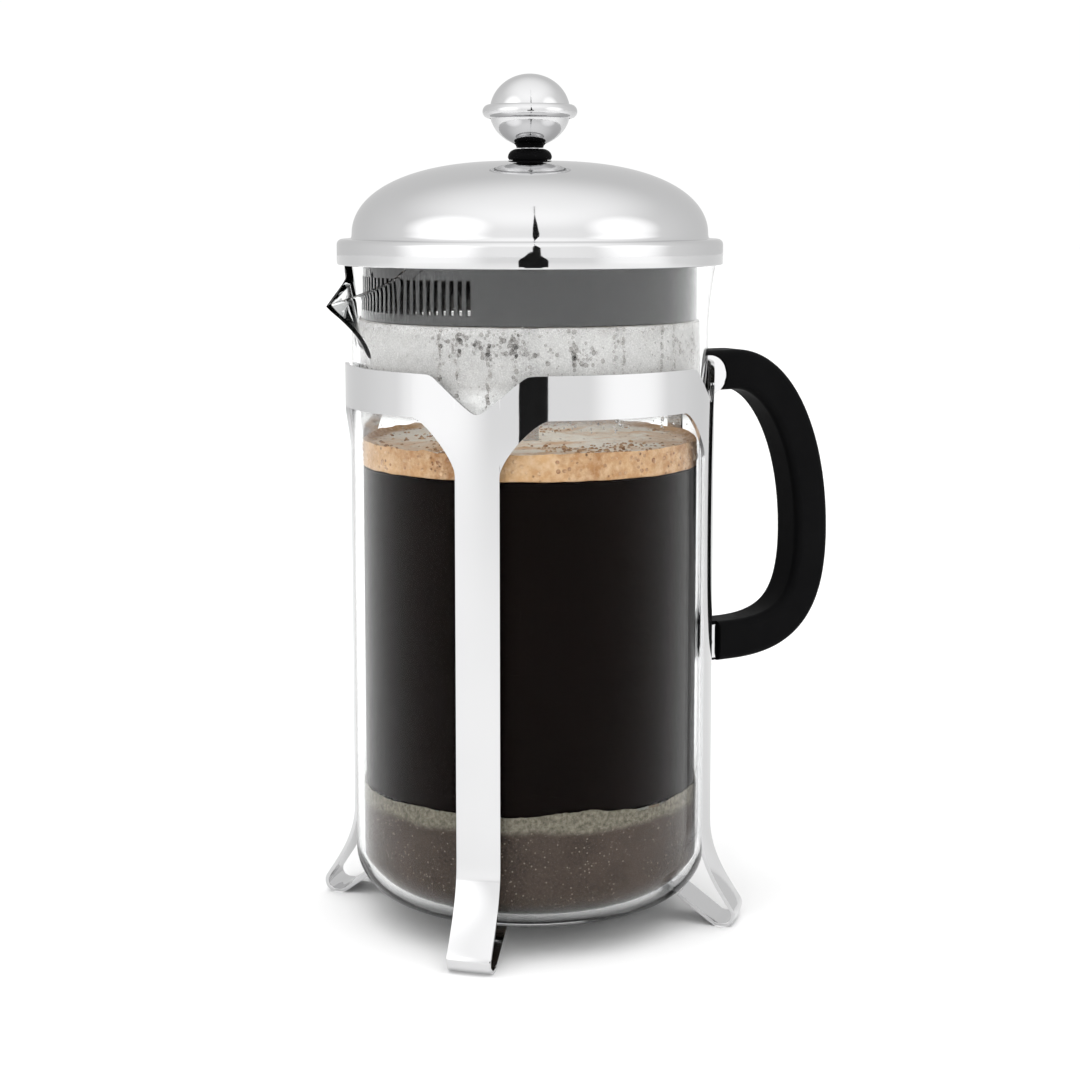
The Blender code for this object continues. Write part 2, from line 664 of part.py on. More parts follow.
def make_knob(steel, black, parent):
    above = KNOB_TOP - KNOB_EQUATOR
    tilt = degrees(asin(GAP / 2 / above))
    top = shell_arc(above, 90, tilt, 7)
    top_inside = shell_arc(above, tilt, 90, 5, KNOB_SHEET)
    profile = [(max(r, 0.0), z) for r, z in top + top_inside]
    profile[0], profile[-1] = (0.0, profile[0][1]), (0.0, profile[-1][1])
    turned("knob_top", profile, steel, parent, SMALL_STEPS, closed=False)

    mouth = degrees(acos(KNOB_MOUTH / KNOB_RADIUS))
    mouth_inside = degrees(acos(KNOB_MOUTH / (KNOB_RADIUS - KNOB_SHEET)))
    low = shell_arc(KNOB_RISE_BELOW, -tilt, -mouth, 6)
    low_inside = shell_arc(KNOB_RISE_BELOW, -mouth_inside, -tilt, 4, KNOB_SHEET)
    turned("knob_bottom", low + low_inside, steel, parent, SMALL_STEPS)

    inner = KNOB_RADIUS + GAP
    round_side = RING_RADIUS - RING_HALF
    ring = [(inner, KNOB_EQUATOR + RING_HALF)]
    ring += arc((round_side, KNOB_EQUATOR), RING_HALF, 82, -82, 6)
    ring += [(inner, KNOB_EQUATOR - RING_HALF)]
    turned("knob_ring", ring, steel, parent, SMALL_STEPS)

    bore = ROD_RADIUS + GAP
    lip = FERRULE_RIM + FERRULE_LIP
    ferrule = [(bore, lip), (FERRULE_RADIUS - 0.0003, lip), (FERRULE_RADIUS, FERRULE_RIM),
               (FERRULE_NECK, FERRULE_BOTTOM + 0.0003), (FERRULE_NECK, FERRULE_BOTTOM),
               (bore, FERRULE_BOTTOM)]
    turned("knob_ferrule", ferrule, black, parent, SMALL_STEPS)

    base = lip + GAP
    cap = ROD_TOP + INSERT_CAP
    insert = [(0.0, cap), (INSERT_RADIUS, cap), (INSERT_RADIUS, base + 0.0020),
              (INSERT_RADIUS - 0.0010, base), (bore, base), (bore, ROD_TOP + GAP), (0.0, ROD_TOP + GAP)]
    turned("knob_insert", insert, black, parent, FINE_STEPS, closed=False)


def make_rod(mat, parent):
    taper = 0.0004
    profile = [
        (0, ROD_TOP), (ROD_RADIUS - taper, ROD_TOP), (ROD_RADIUS, ROD_TOP - taper),
        (ROD_RADIUS, ROD_BOTTOM + taper), (ROD_RADIUS - taper, ROD_BOTTOM), (0, ROD_BOTTOM),
    ]
    turned("plunger_rod", profile, mat, parent, FINE_STEPS, closed=False)


def pierced_plate(mat, parent):
    """A flat plate with a ring of wide openings between its spokes."""
    steps = STEPS
    radii = (ROD_RADIUS + GAP, SPOKE_INNER, SPOKE_OUTER, PLATE_RADIUS)
    per = steps // SPOKES
    bm = bmesh.new()
    levels = []
    for z in (PLATE_BOTTOM, PLATE_BOTTOM + PLATE_SHEET):
        levels.append([
            [bm.verts.new((r * cos(2 * pi * i / steps), r * sin(2 * pi * i / steps), z)) for r in radii]
            for i in range(steps)
        ])
    low, high = levels
    for i in range(steps):
        j = (i + 1) % steps
        window = i % per not in (0, per - 1)
        for ring in range(3):
            if ring == 1 and window:
                for k in (1, 2):
                    bm.faces.new((low[i][k], low[j][k], high[j][k], high[i][k]))
                continue
            bm.faces.new((low[i][ring], low[i][ring + 1], low[j][ring + 1], low[j][ring]))
            bm.faces.new((high[i][ring], high[j][ring], high[j][ring + 1], high[i][ring + 1]))
        for k in (0, 3):
            bm.faces.new((low[i][k], low[j][k], high[j][k], high[i][k]))
        if i % per in (1, per - 1):
            bm.faces.new((low[i][1], low[i][2], high[i][2], high[i][1]))
    return from_bmesh("cross_plate", bm, mat, parent)


def make_filter(steel, mesh, parent):
    bore = ROD_RADIUS + GAP
    pierced_plate(steel, parent)
    base = PLATE_BOTTOM + PLATE_SHEET + GAP
    top = base + MESH_SHEET
    screen = [
        (bore, top), (MESH_FLAT, top), (MESH_RADIUS - MESH_SHEET, top + 0.0018),
        (MESH_RADIUS - MESH_SHEET, base + MESH_RIM), (MESH_RADIUS, base + MESH_RIM),
        (MESH_RADIUS, top + 0.0012), (MESH_FLAT + 0.0006, base), (bore, base),
    ]
    turned("mesh_filter", screen, mesh, parent)
    plate = top + GAP
    upper = [
        (bore, plate + PLATE_SHEET), (SPIRAL_FLAT, plate + PLATE_SHEET),
        (SPIRAL_LIP - 0.0007, plate + SPIRAL_RISE), (SPIRAL_LIP, plate + SPIRAL_RISE),
        (SPIRAL_LIP - 0.0010, plate), (bore, plate),
    ]
    turned("spiral_plate", upper, steel, parent)
    middle = (COIL_CENTRE, plate + COIL_RADIUS + 0.0010)
    coil = arc(middle, COIL_RADIUS, 0, -300, 6)
    turned("spring_coil", coil, mesh, parent)
    hub = plate + PLATE_SHEET + GAP
    boss = [
        (bore, hub + HUB_HEIGHT), (0.0042, hub + HUB_HEIGHT), (0.0050, hub + HUB_HEIGHT - 0.0008),
        (0.0050, hub + 0.0020), (HUB_RADIUS, hub + 0.0014), (HUB_RADIUS, hub), (bore, hub),
    ]
    turned("filter_hub", boss, steel, parent, SMALL_STEPS)
    hex_nut("filter_nut", HUB_NUT_RADIUS, bore, ROD_BOTTOM + 0.0006, PLATE_BOTTOM - GAP, steel, parent)


def main():
    clear_scene()
    steel = material("steel", (0.82, 0.82, 0.83), 0.12, 1.0)
    chrome = material("chrome", (0.90, 0.90, 0.91), 0.05, 1.0)
    glass = material("glass", (0.93, 0.97, 0.96), 0.02, 0.0, alpha=0.35)
    black = material("black_plastic", (0.012, 0.012, 0.013), 0.45, 0.0)
    gloss = material("gloss_black_plastic", (0.02, 0.02, 0.02), 0.15, 0.0)
    mesh = material("steel_mesh", (0.55, 0.55, 0.56), 0.40, 1.0)

    axis = empty("beaker_axis")
    axis.location.x = AXIS_X

    make_rivets_and_holes(chrome, axis)
    make_frame(chrome, axis)
    make_bracket(steel, axis)
    make_handle(black, axis)
    make_beaker(glass, axis)

    make_lid_dome(chrome, axis)
    make_lid_liner(gloss, axis)
    make_bushing(black, axis)
    bore = SHANK_RADIUS + GAP
    washer_top = WEB_BOTTOM - GAP
    washer_bottom = washer_top - WASHER_SHEET
    tube_ring("lid_washer", bore, WASHER_RADIUS, washer_bottom, washer_top, steel, axis, SMALL_STEPS)
    hex_nut("lid_nut", NUT_RADIUS, bore, SHANK_BOTTOM + NUT_RECESS, washer_bottom - GAP, black, axis)

    make_knob(chrome, black, axis)
    make_rod(steel, axis)
    make_filter(steel, mesh, axis)


main()
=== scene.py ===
"""The looks of a french press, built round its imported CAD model.

Metres, in the CAD model's own axes: the handle points along +X, the spout along -X, +Z is up and
the feet stand on z = 0. Round pieces are drawn about the beaker's axis and then moved onto it.
"""

import random
from math import acos, asin, atan2, cos, degrees, exp, hypot, pi, radians, sin, sqrt, tan

import bmesh
import bpy
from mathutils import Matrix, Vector, noise
from mathutils.geometry import interpolate_bezier


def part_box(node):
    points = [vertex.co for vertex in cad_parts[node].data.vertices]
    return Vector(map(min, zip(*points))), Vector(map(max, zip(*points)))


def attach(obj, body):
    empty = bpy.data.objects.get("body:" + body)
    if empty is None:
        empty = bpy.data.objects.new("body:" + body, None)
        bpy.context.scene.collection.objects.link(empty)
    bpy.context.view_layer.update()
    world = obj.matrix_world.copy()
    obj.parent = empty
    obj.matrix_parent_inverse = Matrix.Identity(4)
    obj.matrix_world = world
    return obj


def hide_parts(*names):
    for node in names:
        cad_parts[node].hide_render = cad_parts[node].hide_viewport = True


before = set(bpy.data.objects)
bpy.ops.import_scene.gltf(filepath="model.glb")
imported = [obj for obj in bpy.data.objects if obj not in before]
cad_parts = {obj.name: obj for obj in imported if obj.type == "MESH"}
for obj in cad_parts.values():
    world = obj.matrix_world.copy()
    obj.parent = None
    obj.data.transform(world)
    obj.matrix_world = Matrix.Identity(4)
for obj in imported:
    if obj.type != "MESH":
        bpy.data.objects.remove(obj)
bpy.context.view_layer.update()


# Sizes read from the CAD model.


def low(node):
    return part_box(node)[0]


def high(node):
    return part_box(node)[1]


def reach(node):
    """The radius of a round node."""
    return (high(node).y - low(node).y) / 2


AXIS_X = (low("lid_dome").x + high("lid_dome").x) / 2

# How finely round pieces are drawn.
ROUND = 192
SMALL_ROUND = 96
FINE_ROUND = 32

# An edge that turns more than this many degrees is drawn sharp.
SHARP = 35

# The gap between pieces that fit together.
GAP = 0.0003

# Beaker.
WALL = 0.002
BEAKER_RADIUS = 0.048
BEAKER_BOTTOM = low("beaker").z
BEAKER_FLOOR = BEAKER_BOTTOM + 0.003
BEAKER_CORNER = 0.012
RIM_TOP = high("beaker").z
RIM_FLARE = reach("beaker") - BEAKER_RADIUS
RIM_ROUND = 0.0006
FLARE_START = 0.160
FLARE_END = 0.177
RIM_GROWTH = 1.6
BASE_HOLLOW = 0.0007
SPOUT_REACH = AXIS_X - low("beaker").x
SPOUT_START = 0.152
SPOUT_DROP = 0.012
SPOUT_HALF_ANGLE = radians(17)
SPOUT_DROP_ANGLE = radians(24)
SPOUT_PINCH = 1.3
SPOUT_RISE = 1.6
SPOUT_SAG = 0.75

# Frame.
SHEET = 0.001
BAND_RADIUS = 0.0494
BAND_TOP = high("frame").z
BAND_BOTTOM = 0.140
NOTCH_BOTTOM = 0.1414
NOTCH_SLOPE = 0.88
NOTCH_ROUND = 0.0015
NOTCH_BLEND = 0.0008
LEG_ANGLES = (45, 135, 225, 315)
LEG_HALF = 0.0058
LEG_ROOT = 0.126
ARM_HALF = 0.0185
FLARE_TOP = 0.026
FLARE_HANDLE = 0.017
FOOT_SLOPE = 33
FOOT_LEAD = 0.0065
FOOT_BEND = 0.0028
FOOT_CENTRE = 0.0556
FOOT_FLAT = 0.001
RETURN_BEND = 0.003
RETURN_ANGLE = radians(36.5)
RETURN_LENGTH = 0.0117
EAR_Y = 0.0049
EAR_BEND = 0.0015
EAR_TIP = 0.0608
EAR_HALF = (BAND_TOP - BAND_BOTTOM) / 2
EAR_MIDDLE = (BAND_TOP + BAND_BOTTOM) / 2

# Handle.
HANDLE_HALF = (high("handle").y - low("handle").y) / 2
HANDLE_CORNER = 0.0022
HANDLE_TOP_Z = 0.1468
HANDLE_LOW_Z = 0.0687
HANDLE_MIDDLE = high("handle").x - AXIS_X - HANDLE_HALF
HANDLE_START = 0.0520
HANDLE_BEND_X = 0.065
HANDLE_SIDE_Z = 0.098
HANDLE_TONGUE = 0.0030
LOWER_TONGUE_END = 0.0596

# Lid.
LID_RADIUS = reach("lid_dome")
LID_BOTTOM = low("lid_dome").z
LID_SHOULDER = 0.1843
LID_SHEET = 0.0008
LID_EDGE = 0.0015
DOME_RADIUS = 0.0478
DOME_BASE = 0.1856
DOME_TOP = high("lid_dome").z
SKIRT_RADIUS = 0.0450
SKIRT_WALL = 0.0012
SKIRT_BOTTOM = low("lid_liner").z
WEB_BOTTOM = 0.1760
WEB_TOP = 0.1774
LID_HOLE = 0.0050
SLOT_BOTTOM = 0.1657
SLOT_TOP = 0.1745
SLOT_COUNT = 29
SLOT_PITCH = radians(2.9)

# Knob and rod.
KNOB_RADIUS = reach("knob_top")
KNOB_TOP = high("knob_top").z
RING_RADIUS = reach("knob_ring")
RING_HALF = (high("knob_ring").z - low("knob_ring").z) / 2
KNOB_EQUATOR = low("knob_ring").z + RING_HALF
KNOB_RISE_BELOW = 0.0093
KNOB_SHEET = 0.0009
KNOB_MOUTH = 0.0047
ROD_RADIUS = reach("plunger_rod")
THREAD_PITCH = 0.0008
THREAD_DEPTH = 0.0003
THREAD_LENGTH = 0.0160

# What is in the beaker.
LIQUID_RADIUS = 0.0452
SILT_RADIUS = 0.04585
FILTER_BOTTOM = low("mesh_filter").z
FILTER_TOP = high("mesh_filter").z
COFFEE_TOP = 0.1238
FOAM_TOP = 0.1300
MIST_BOTTOM = 0.1370
MIST_RADIUS = 0.0457
DROP_HEIGHT = 0.00027

# The side of the press that faces the camera.
CAMERA_TURN = radians(-29.5)


# Mesh tools.


def curve(start, first, second, end, points):
    """Points along a cubic curve in the (radius, height) plane, both ends included."""
    corners = [Vector((r, 0, z)) for r, z in (start, first, second, end)]
    return [(p.x, p.z) for p in interpolate_bezier(*corners, points)]


def arc(centre, radius, start, end, points):
    """Points on a circle in the (radius, height) plane, from one angle in degrees to another."""
    turn = [radians(start + (end - start) * i / (points - 1)) for i in range(points)]
    return [(centre[0] + radius * cos(a), centre[1] + radius * sin(a)) for a in turn]


def lathe(profile, steps=ROUND, closed=True, angles=None):
    """The surface that a profile of (radius, height) points sweeps round the Z axis."""
    angles = angles or [2 * pi * i / steps for i in range(steps)]
    bm = bmesh.new()
    columns = [[bm.verts.new((r * cos(a), r * sin(a), z)) for r, z in profile] for a in angles]
    count = len(profile)
    for i, left in enumerate(columns):
        right = columns[(i + 1) % len(columns)]
        for j in range(count if closed else count - 1):
            k = (j + 1) % count
            if profile[j][0] or profile[k][0]:
                bm.faces.new((left[j], right[j], right[k], left[k]))
    bmesh.ops.remove_doubles(bm, verts=bm.verts, dist=1e-7)
    return bm


def bridge(bm, rings):
    """Joins each closed ring of vertices to the next."""
    for lower, upper in zip(rings, rings[1:]):
        for k in range(len(lower)):
            after = (k + 1) % len(lower)
            bm.faces.new((lower[k], lower[after], upper[after], upper[k]))


def swept(bm, line, radius, sides):
    """Adds a round wire along a closed line of points."""
    rings = []
    turns = [2 * pi * k / sides for k in range(sides)]
    for i, point in enumerate(line):
        along = (line[(i + 1) % len(line)] - line[i - 1]).normalized()
        across = along.cross(Vector((0, 0, 1))).normalized()
        up = across.cross(along)
        spokes = [radius * (cos(a) * across + sin(a) * up) for a in turns]
        rings.append([bm.verts.new(point + spoke) for spoke in spokes])
    bridge(bm, rings + rings[:1])


def add_dome(bm, centre, out, up, radius, height, stretch=1.0, sides=10, rings=3):
    """Adds a low closed dome that stands on a surface whose outward direction is out."""
    side = out.cross(up).normalized()
    levels = []
    for i in range(rings):
        lean = radians(90) * i / rings
        levels.append([
            bm.verts.new(
                centre + out * (height * sin(lean))
                + side * (radius * cos(lean) * cos(2 * pi * k / sides))
                + up * (radius * cos(lean) * stretch * sin(2 * pi * k / sides))
            )
            for k in range(sides)
        ])
    tip = bm.verts.new(centre + out * height)
    bm.faces.new(levels[0])
    bridge(bm, levels)
    for k in range(sides):
        bm.faces.new((levels[-1][k], levels[-1][(k + 1) % sides], tip))


def add_object(name, data, location):
    obj = bpy.data.objects.new(name, data)
    bpy.context.scene.collection.objects.link(obj)
    obj.location = location
    return obj


def mesh_object(name, bm, mat, sharp=SHARP):
    """An object on the beaker's axis, made from a mesh that was drawn about that axis."""
    bmesh.ops.recalc_face_normals(bm, faces=bm.faces)
    mesh = bpy.data.meshes.new(name)
    bm.to_mesh(mesh)
    bm.free()
    mesh.shade_smooth()
    mesh.set_sharp_from_angle(angle=radians(sharp))
    mesh.materials.append(mat)
    return add_object(name, mesh, (AXIS_X, 0, 0))


def place(obj, body, slot, *nodes):
    """Makes a piece ride on a body and stand for the CAD nodes that it draws."""
    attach(obj, body)
    if nodes:
        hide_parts(*nodes)


def soften(obj, width, segments=2):
    """Rounds a piece's hard edges a little and keeps its wide faces' shading even."""
    bevel = obj.modifiers.new("edges", "BEVEL")
    bevel.width = width
    bevel.segments = segments
    bevel.limit_method = "ANGLE"
    bevel.angle_limit = radians(40)
    even = obj.modifiers.new("even_shading", "WEIGHTED_NORMAL")
    even.keep_sharp = False


def cut_with(obj, cutters):
    """Cuts closed meshes out of an object and keeps the result as its own mesh."""
    for tool in cutters:
        modifier = obj.modifiers.new("cut", "BOOLEAN")
        modifier.object = tool
        modifier.operation = "DIFFERENCE"
        modifier.solver = "EXACT"
    graph = bpy.context.evaluated_depsgraph_get()
    mesh = bpy.data.meshes.new_from_object(obj.evaluated_get(graph))
    obj.modifiers.clear()
    obj.data = mesh
    for tool in cutters:
        bpy.data.objects.remove(tool)
    mesh.shade_smooth()
    mesh.set_sharp_from_angle(angle=radians(SHARP))


# Materials.


class Nodes:
    """Short calls for shader nodes."""

    def __init__(self, tree):
        self.nodes = tree.nodes
        self.links = tree.links

    def add(self, kind, output, inputs, **settings):
        """A new node's output. Each input is a number, a colour or another node's output."""
        node = self.nodes.new("ShaderNode" + kind)
        for key, value in settings.items():
            setattr(node, key, value)
        for key, value in inputs.items():
            if isinstance(value, bpy.types.NodeSocket):
                self.links.new(value, node.inputs[key])
            else:
                node.inputs[key].default_value = value
        return node.outputs[output]

    def span(self, value, start, end, low_value=0.0, high_value=1.0, smooth=False):
        """Maps a value's range onto another, held at both ends."""
        ends = {"From Min": start, "From Max": end, "To Min": low_value, "To Max": high_value}
        kind = "SMOOTHSTEP" if smooth else "LINEAR"
        return self.add("MapRange", "Result", {"Value": value, **ends}, interpolation_type=kind)

    def maths(self, operation, first, second):
        return self.add("Math", "Value", {0: first, 1: second}, operation=operation)

    def mix(self, factor, first, second):
        """A colour between two, each an output or three numbers."""
        first, second = [(*c, 1.0) if isinstance(c, tuple) else c for c in (first, second)]
        return self.add("Mix", 2, {0: factor, 6: first, 7: second}, data_type="RGBA")

    def length(self, vector):
        return self.add("VectorMath", "Value", {0: vector}, operation="LENGTH")

    def facing(self, direction, turn, rise=0):
        """How nearly a direction points to one turned and raised, in degrees, from the front."""
        turn, rise = CAMERA_TURN + radians(turn), radians(rise)
        aim = (sin(turn) * cos(rise), -cos(turn) * cos(rise), sin(rise))
        return self.add("VectorMath", "Value", {0: direction, 1: aim}, operation="DOT_PRODUCT")

    def switch(self, ray, usual, other):
        """One shader for most rays, and another for one kind of ray."""
        return self.add("MixShader", "Shader",
                        {0: self.add("LightPath", ray, {}), 1: usual, 2: other})


class Look(Nodes):
    """A material, with short calls for the nodes that these looks are made of."""

    def __init__(self, name, **values):
        self.mat = bpy.data.materials.new(name)
        self.mat.use_nodes = True
        super().__init__(self.mat.node_tree)
        self.shader = self.nodes["Principled BSDF"]
        self.place = self.add("TexCoord", "Object", {})
        for key, value in values.items():
            self.shader.inputs[key.replace("_", " ")].default_value = value

    def scaled(self, scale):
        """The piece's own coordinates, stretched by three factors."""
        return self.add("Mapping", "Vector", {"Scale": scale, "Vector": self.place})

    def noise(self, scale, detail=3.0, roughness=0.5, vector=None, distortion=0.0):
        return self.add("TexNoise", "Fac", {
            "Scale": scale, "Detail": detail, "Roughness": roughness,
            "Distortion": distortion, "Vector": vector or self.place,
        })

    def cells(self, scale):
        return self.add("TexVoronoi", "Distance", {"Scale": scale, "Vector": self.place})

    def radius(self):
        """The distance from the beaker's axis."""
        return self.length(self.scaled((1, 1, 0)))

    def height(self):
        return self.add("SeparateXYZ", "Z", {"Vector": self.place})

    def colour(self, factor, first, second):
        self.links.new(self.mix(factor, first, second), self.shader.inputs["Base Color"])

    def rough(self, *span):
        self.links.new(self.span(*span), self.shader.inputs["Roughness"])

    def bump(self, height, strength, distance):
        """Adds a bump, on top of any that the look already has."""
        inputs = {"Strength": strength, "Distance": distance, "Height": height}
        normal = self.shader.inputs["Normal"]
        if normal.is_linked:
            inputs["Normal"] = normal.links[0].from_socket
        self.links.new(self.add("Bump", "Normal", inputs), normal)

    def let_lamps_through(self, tint):
        """Lets light reach what is behind this clear material without a search for its path."""
        clear = self.add("BsdfTransparent", "BSDF", {"Color": (*tint, 1.0)})
        both = self.switch("Is Shadow Ray", self.shader.outputs["BSDF"], clear)
        self.links.new(both, self.nodes["Material Output"].inputs["Surface"])


def chrome_look():
    """Polished steel: faint waves from the press tool, fine polishing lines and a few smudges."""
    look = Look("polished_steel", Metallic=1.0)
    tone = look.noise(40, 2)
    look.colour(tone, (0.655, 0.655, 0.66), (0.69, 0.69, 0.695))
    look.rough(look.noise(90, 4, 0.6), 0.45, 0.75, 0.035, 0.10)
    look.bump(look.noise(28, 1), 0.10, 0.0006)
    look.bump(look.noise(900, 3, 0.6, look.scaled((1, 1, 0.06))), 0.03, 0.00004)
    return look.mat


def steel_look():
    """Plain satin steel with brushing round the axis."""
    look = Look("plain_steel", Metallic=1.0)
    lines = look.noise(1500, 3, 0.6, look.scaled((0.15, 0.15, 1)))
    look.colour(lines, (0.50, 0.50, 0.51), (0.66, 0.66, 0.67))
    look.rough(lines, 0.3, 0.7, 0.18, 0.34)
    look.bump(lines, 0.15, 0.00003)
    return look.mat


def handle_look():
    """Black moulded plastic with a fine, soft grain."""
    look = Look("handle_plastic", Specular_IOR_Level=0.02)
    tone = look.noise(120, 3)
    look.colour(tone, (0.0030, 0.0030, 0.0033), (0.0052, 0.0052, 0.0055))
    look.rough(look.noise(300, 4, 0.6), 0.3, 0.7, 0.40, 0.52)
    look.bump(look.noise(3500, 2), 0.10, 0.00005)
    return look.mat


def liner_look():
    """Glossy black plastic, dulled here and there by steam."""
    look = Look("liner_plastic", Specular_IOR_Level=0.85, Coat_Weight=0.35, Coat_Roughness=0.04)
    look.colour(look.noise(60, 3), (0.007, 0.007, 0.0072), (0.012, 0.012, 0.0125))
    look.rough(look.noise(150, 4, 0.6), 0.35, 0.7, 0.05, 0.16)
    look.bump(look.noise(700, 3), 0.04, 0.00008)
    return look.mat


def glass_look():
    """Clear beaker glass with faint waves and a few dull patches."""
    look = Look("beaker_glass", Transmission_Weight=1.0, IOR=1.22,
                Specular_Tint=(0.04, 0.04, 0.04, 1.0))
    look.colour(look.noise(25, 2), (0.975, 0.985, 0.982), (0.99, 0.995, 0.993))
    look.rough(look.noise(70, 3, 0.6), 0.5, 0.8, 0.0, 0.02)
    look.bump(look.noise(35, 1), 0.04, 0.0004)
    look.let_lamps_through((0.95, 0.96, 0.955))
    return look.mat


def mist_look():
    """The fine grey film of steam between the foam and the lid, patchy and grainy."""
    look = Look("steam_film", Specular_IOR_Level=0.2)
    grain = look.noise(2600, 3, 0.7)
    patch = look.span(look.noise(150, 5, 0.65), 0.32, 0.66)
    look.colour(grain, (0.50, 0.49, 0.485), (0.86, 0.85, 0.845))
    look.rough(patch, 0.0, 1.0, 0.35, 0.7)
    height = look.height()
    top = look.span(height, SKIRT_BOTTOM - 0.0035, SKIRT_BOTTOM - 0.0005, 1.0, 0.55, smooth=True)
    foot = look.span(height, MIST_BOTTOM, MIST_BOTTOM + 0.004, smooth=True)
    cover = look.maths("ADD", 0.34, look.maths("MULTIPLY", patch, 0.34))
    cover = look.maths("MULTIPLY", cover, top)
    cover = look.maths("ADD", cover, look.span(grain, 0.45, 0.75, 0.0, 0.25))
    cover = look.maths("MULTIPLY", cover, foot)
    look.links.new(cover, look.shader.inputs["Alpha"])
    look.bump(grain, 0.2, 0.00005)
    return look.mat


def water_look():
    look = Look("condensed_water", Transmission_Weight=1.0, IOR=1.33)
    # Painted shade: clear water has no grey, and this grey colour darkens the drops.
    look.colour(look.noise(200, 2), (0.62, 0.60, 0.585), (0.95, 0.945, 0.94))
    look.rough(look.noise(900, 2), 0.4, 0.8, 0.0, 0.03)
    look.bump(look.noise(1200, 1), 0.05, 0.00005)
    look.let_lamps_through((0.93, 0.93, 0.93))
    return look.mat


def coffee_look():
    look = Look("coffee", Specular_IOR_Level=0.03)
    drift = look.noise(45, 4, 0.6, look.scaled((1, 1, 0.25)))
    look.colour(drift, (0.0016, 0.0010, 0.0009), (0.0048, 0.0024, 0.0018))
    look.rough(drift, 0.3, 0.7, 0.30, 0.45)
    look.bump(drift, 0.05, 0.0002)
    return look.mat


def foam_look():
    """Tan crema with brown bubbles at the wall, and a whitish top with warmer smears. The top's
    whiteness is partly the crema's own colour and partly painted light that makes up for the shade
    under the lid.
    """
    look = Look("foam", Specular_IOR_Level=0.30)
    drift = look.span(look.noise(55, 4, 0.6), 0.35, 0.65)
    side = look.mix(drift, (0.36, 0.165, 0.060), (0.66, 0.40, 0.20))
    froth = look.span(look.noise(420, 4, 0.7), 0.40, 0.66, 0.0, 0.55)
    side = look.mix(froth, side, (0.80, 0.60, 0.40))
    smear = look.span(look.noise(48, 5, 0.6, distortion=0.8), 0.46, 0.62)
    # Painted light: these top colours are lighter than the crema's own, to make up for the shade
    # under the lid.
    pale_top_painted_lighter = look.mix(smear, (0.97, 0.91, 0.81), (0.74, 0.47, 0.27))
    flecked = look.span(look.noise(260, 4, 0.7), 0.45, 0.70, 0.0, 0.5)
    pale_top_painted_lighter = look.mix(flecked, pale_top_painted_lighter, (0.80, 0.64, 0.48))
    top = look.span(look.height(), FOAM_TOP - 0.0012, FOAM_TOP - 0.0002, smooth=True)
    near, wall = LIQUID_RADIUS - 0.0045, LIQUID_RADIUS - 0.0012
    inside = look.span(look.radius(), near, wall, 1.0, 0.0, smooth=True)
    body = look.mix(look.maths("MULTIPLY", top, inside), side, pale_top_painted_lighter)
    spots = look.span(look.cells(520), 0.10, 0.26, 1.0, 0.0)
    rare = look.span(look.noise(230, 2), 0.48, 0.55)
    look.colour(look.maths("MULTIPLY", spots, rare), body, (0.17, 0.075, 0.030))
    look.rough(look.noise(500, 2), 0.3, 0.7, 0.45, 0.70)
    look.bump(look.cells(1100), 0.55, 0.0003)
    look.bump(look.noise(300, 4), 0.35, 0.0004)
    return look.mat


def bubble_look():
    """Thin-walled bubbles, browner than the foam that they stand in."""
    look = Look("foam_bubble", Specular_IOR_Level=0.6)
    tone = look.span(look.noise(300, 3), 0.35, 0.65)
    look.colour(tone, (0.30, 0.135, 0.055), (0.74, 0.50, 0.30))
    look.rough(look.noise(900, 2), 0.3, 0.7, 0.16, 0.34)
    look.bump(look.noise(1800, 2), 0.10, 0.00005)
    return look.mat


def grounds_look():
    """Wet coffee grounds: a fine grey-brown speckle, darker where they lie on the glass floor."""
    look = Look("coffee_grounds", Specular_IOR_Level=0.30)
    grain = look.noise(1500, 4, 0.75)
    base = look.mix(look.span(grain, 0.35, 0.68), (0.017, 0.010, 0.007), (0.072, 0.050, 0.037))
    drift = look.span(look.noise(70, 3), 0.35, 0.65)
    base = look.mix(look.maths("MULTIPLY", drift, 0.45), base, (0.085, 0.060, 0.048))
    flecks = look.span(look.cells(900), 0.12, 0.24, 1.0, 0.0)
    rare = look.span(look.noise(420, 2), 0.44, 0.52)
    base = look.mix(look.maths("MULTIPLY", flecks, rare), base, (0.24, 0.20, 0.16))
    wave = look.maths("MULTIPLY", look.noise(60, 3), 0.004)
    settled = look.maths("SUBTRACT", look.height(), wave)
    silt = look.span(settled, BEAKER_FLOOR + 0.0008, BEAKER_FLOOR + 0.0042, 1.0, 0.0, smooth=True)
    base = look.mix(look.maths("MULTIPLY", silt, 0.85), base, (0.020, 0.021, 0.016))
    froth = look.span(settled, FILTER_BOTTOM - 0.0012, FILTER_BOTTOM + 0.0012, smooth=True)
    foamy = look.span(look.noise(900, 4, 0.7), 0.35, 0.65)
    foamy = look.mix(foamy, (0.085, 0.078, 0.052), (0.26, 0.235, 0.185))
    look.colour(look.maths("MULTIPLY", froth, 0.9), base, foamy)
    look.rough(grain, 0.3, 0.7, 0.35, 0.60)
    look.bump(grain, 0.60, 0.0004)
    return look.mat


def woven_look():
    """Fine woven wire, clogged in places with coffee."""
    look = Look("filter_mesh", Metallic=0.85)
    wires = look.span(look.cells(2600), 0.1, 0.5)
    clog = look.span(look.noise(260, 4, 0.65), 0.46, 0.62)
    steel = look.mix(wires, (0.52, 0.52, 0.48), (0.20, 0.20, 0.18))
    look.colour(clog, steel, (0.20, 0.145, 0.095))
    look.rough(wires, 0.0, 1.0, 0.30, 0.60)
    look.bump(wires, 0.6, 0.0001)
    return look.mat


def floor_look():
    look = Look("floor", Specular_IOR_Level=0.2)
    look.colour(look.noise(3, 2), (0.90, 0.90, 0.90), (0.92, 0.92, 0.92))
    look.rough(look.noise(8, 3), 0.3, 0.7, 0.45, 0.60)
    return look.mat


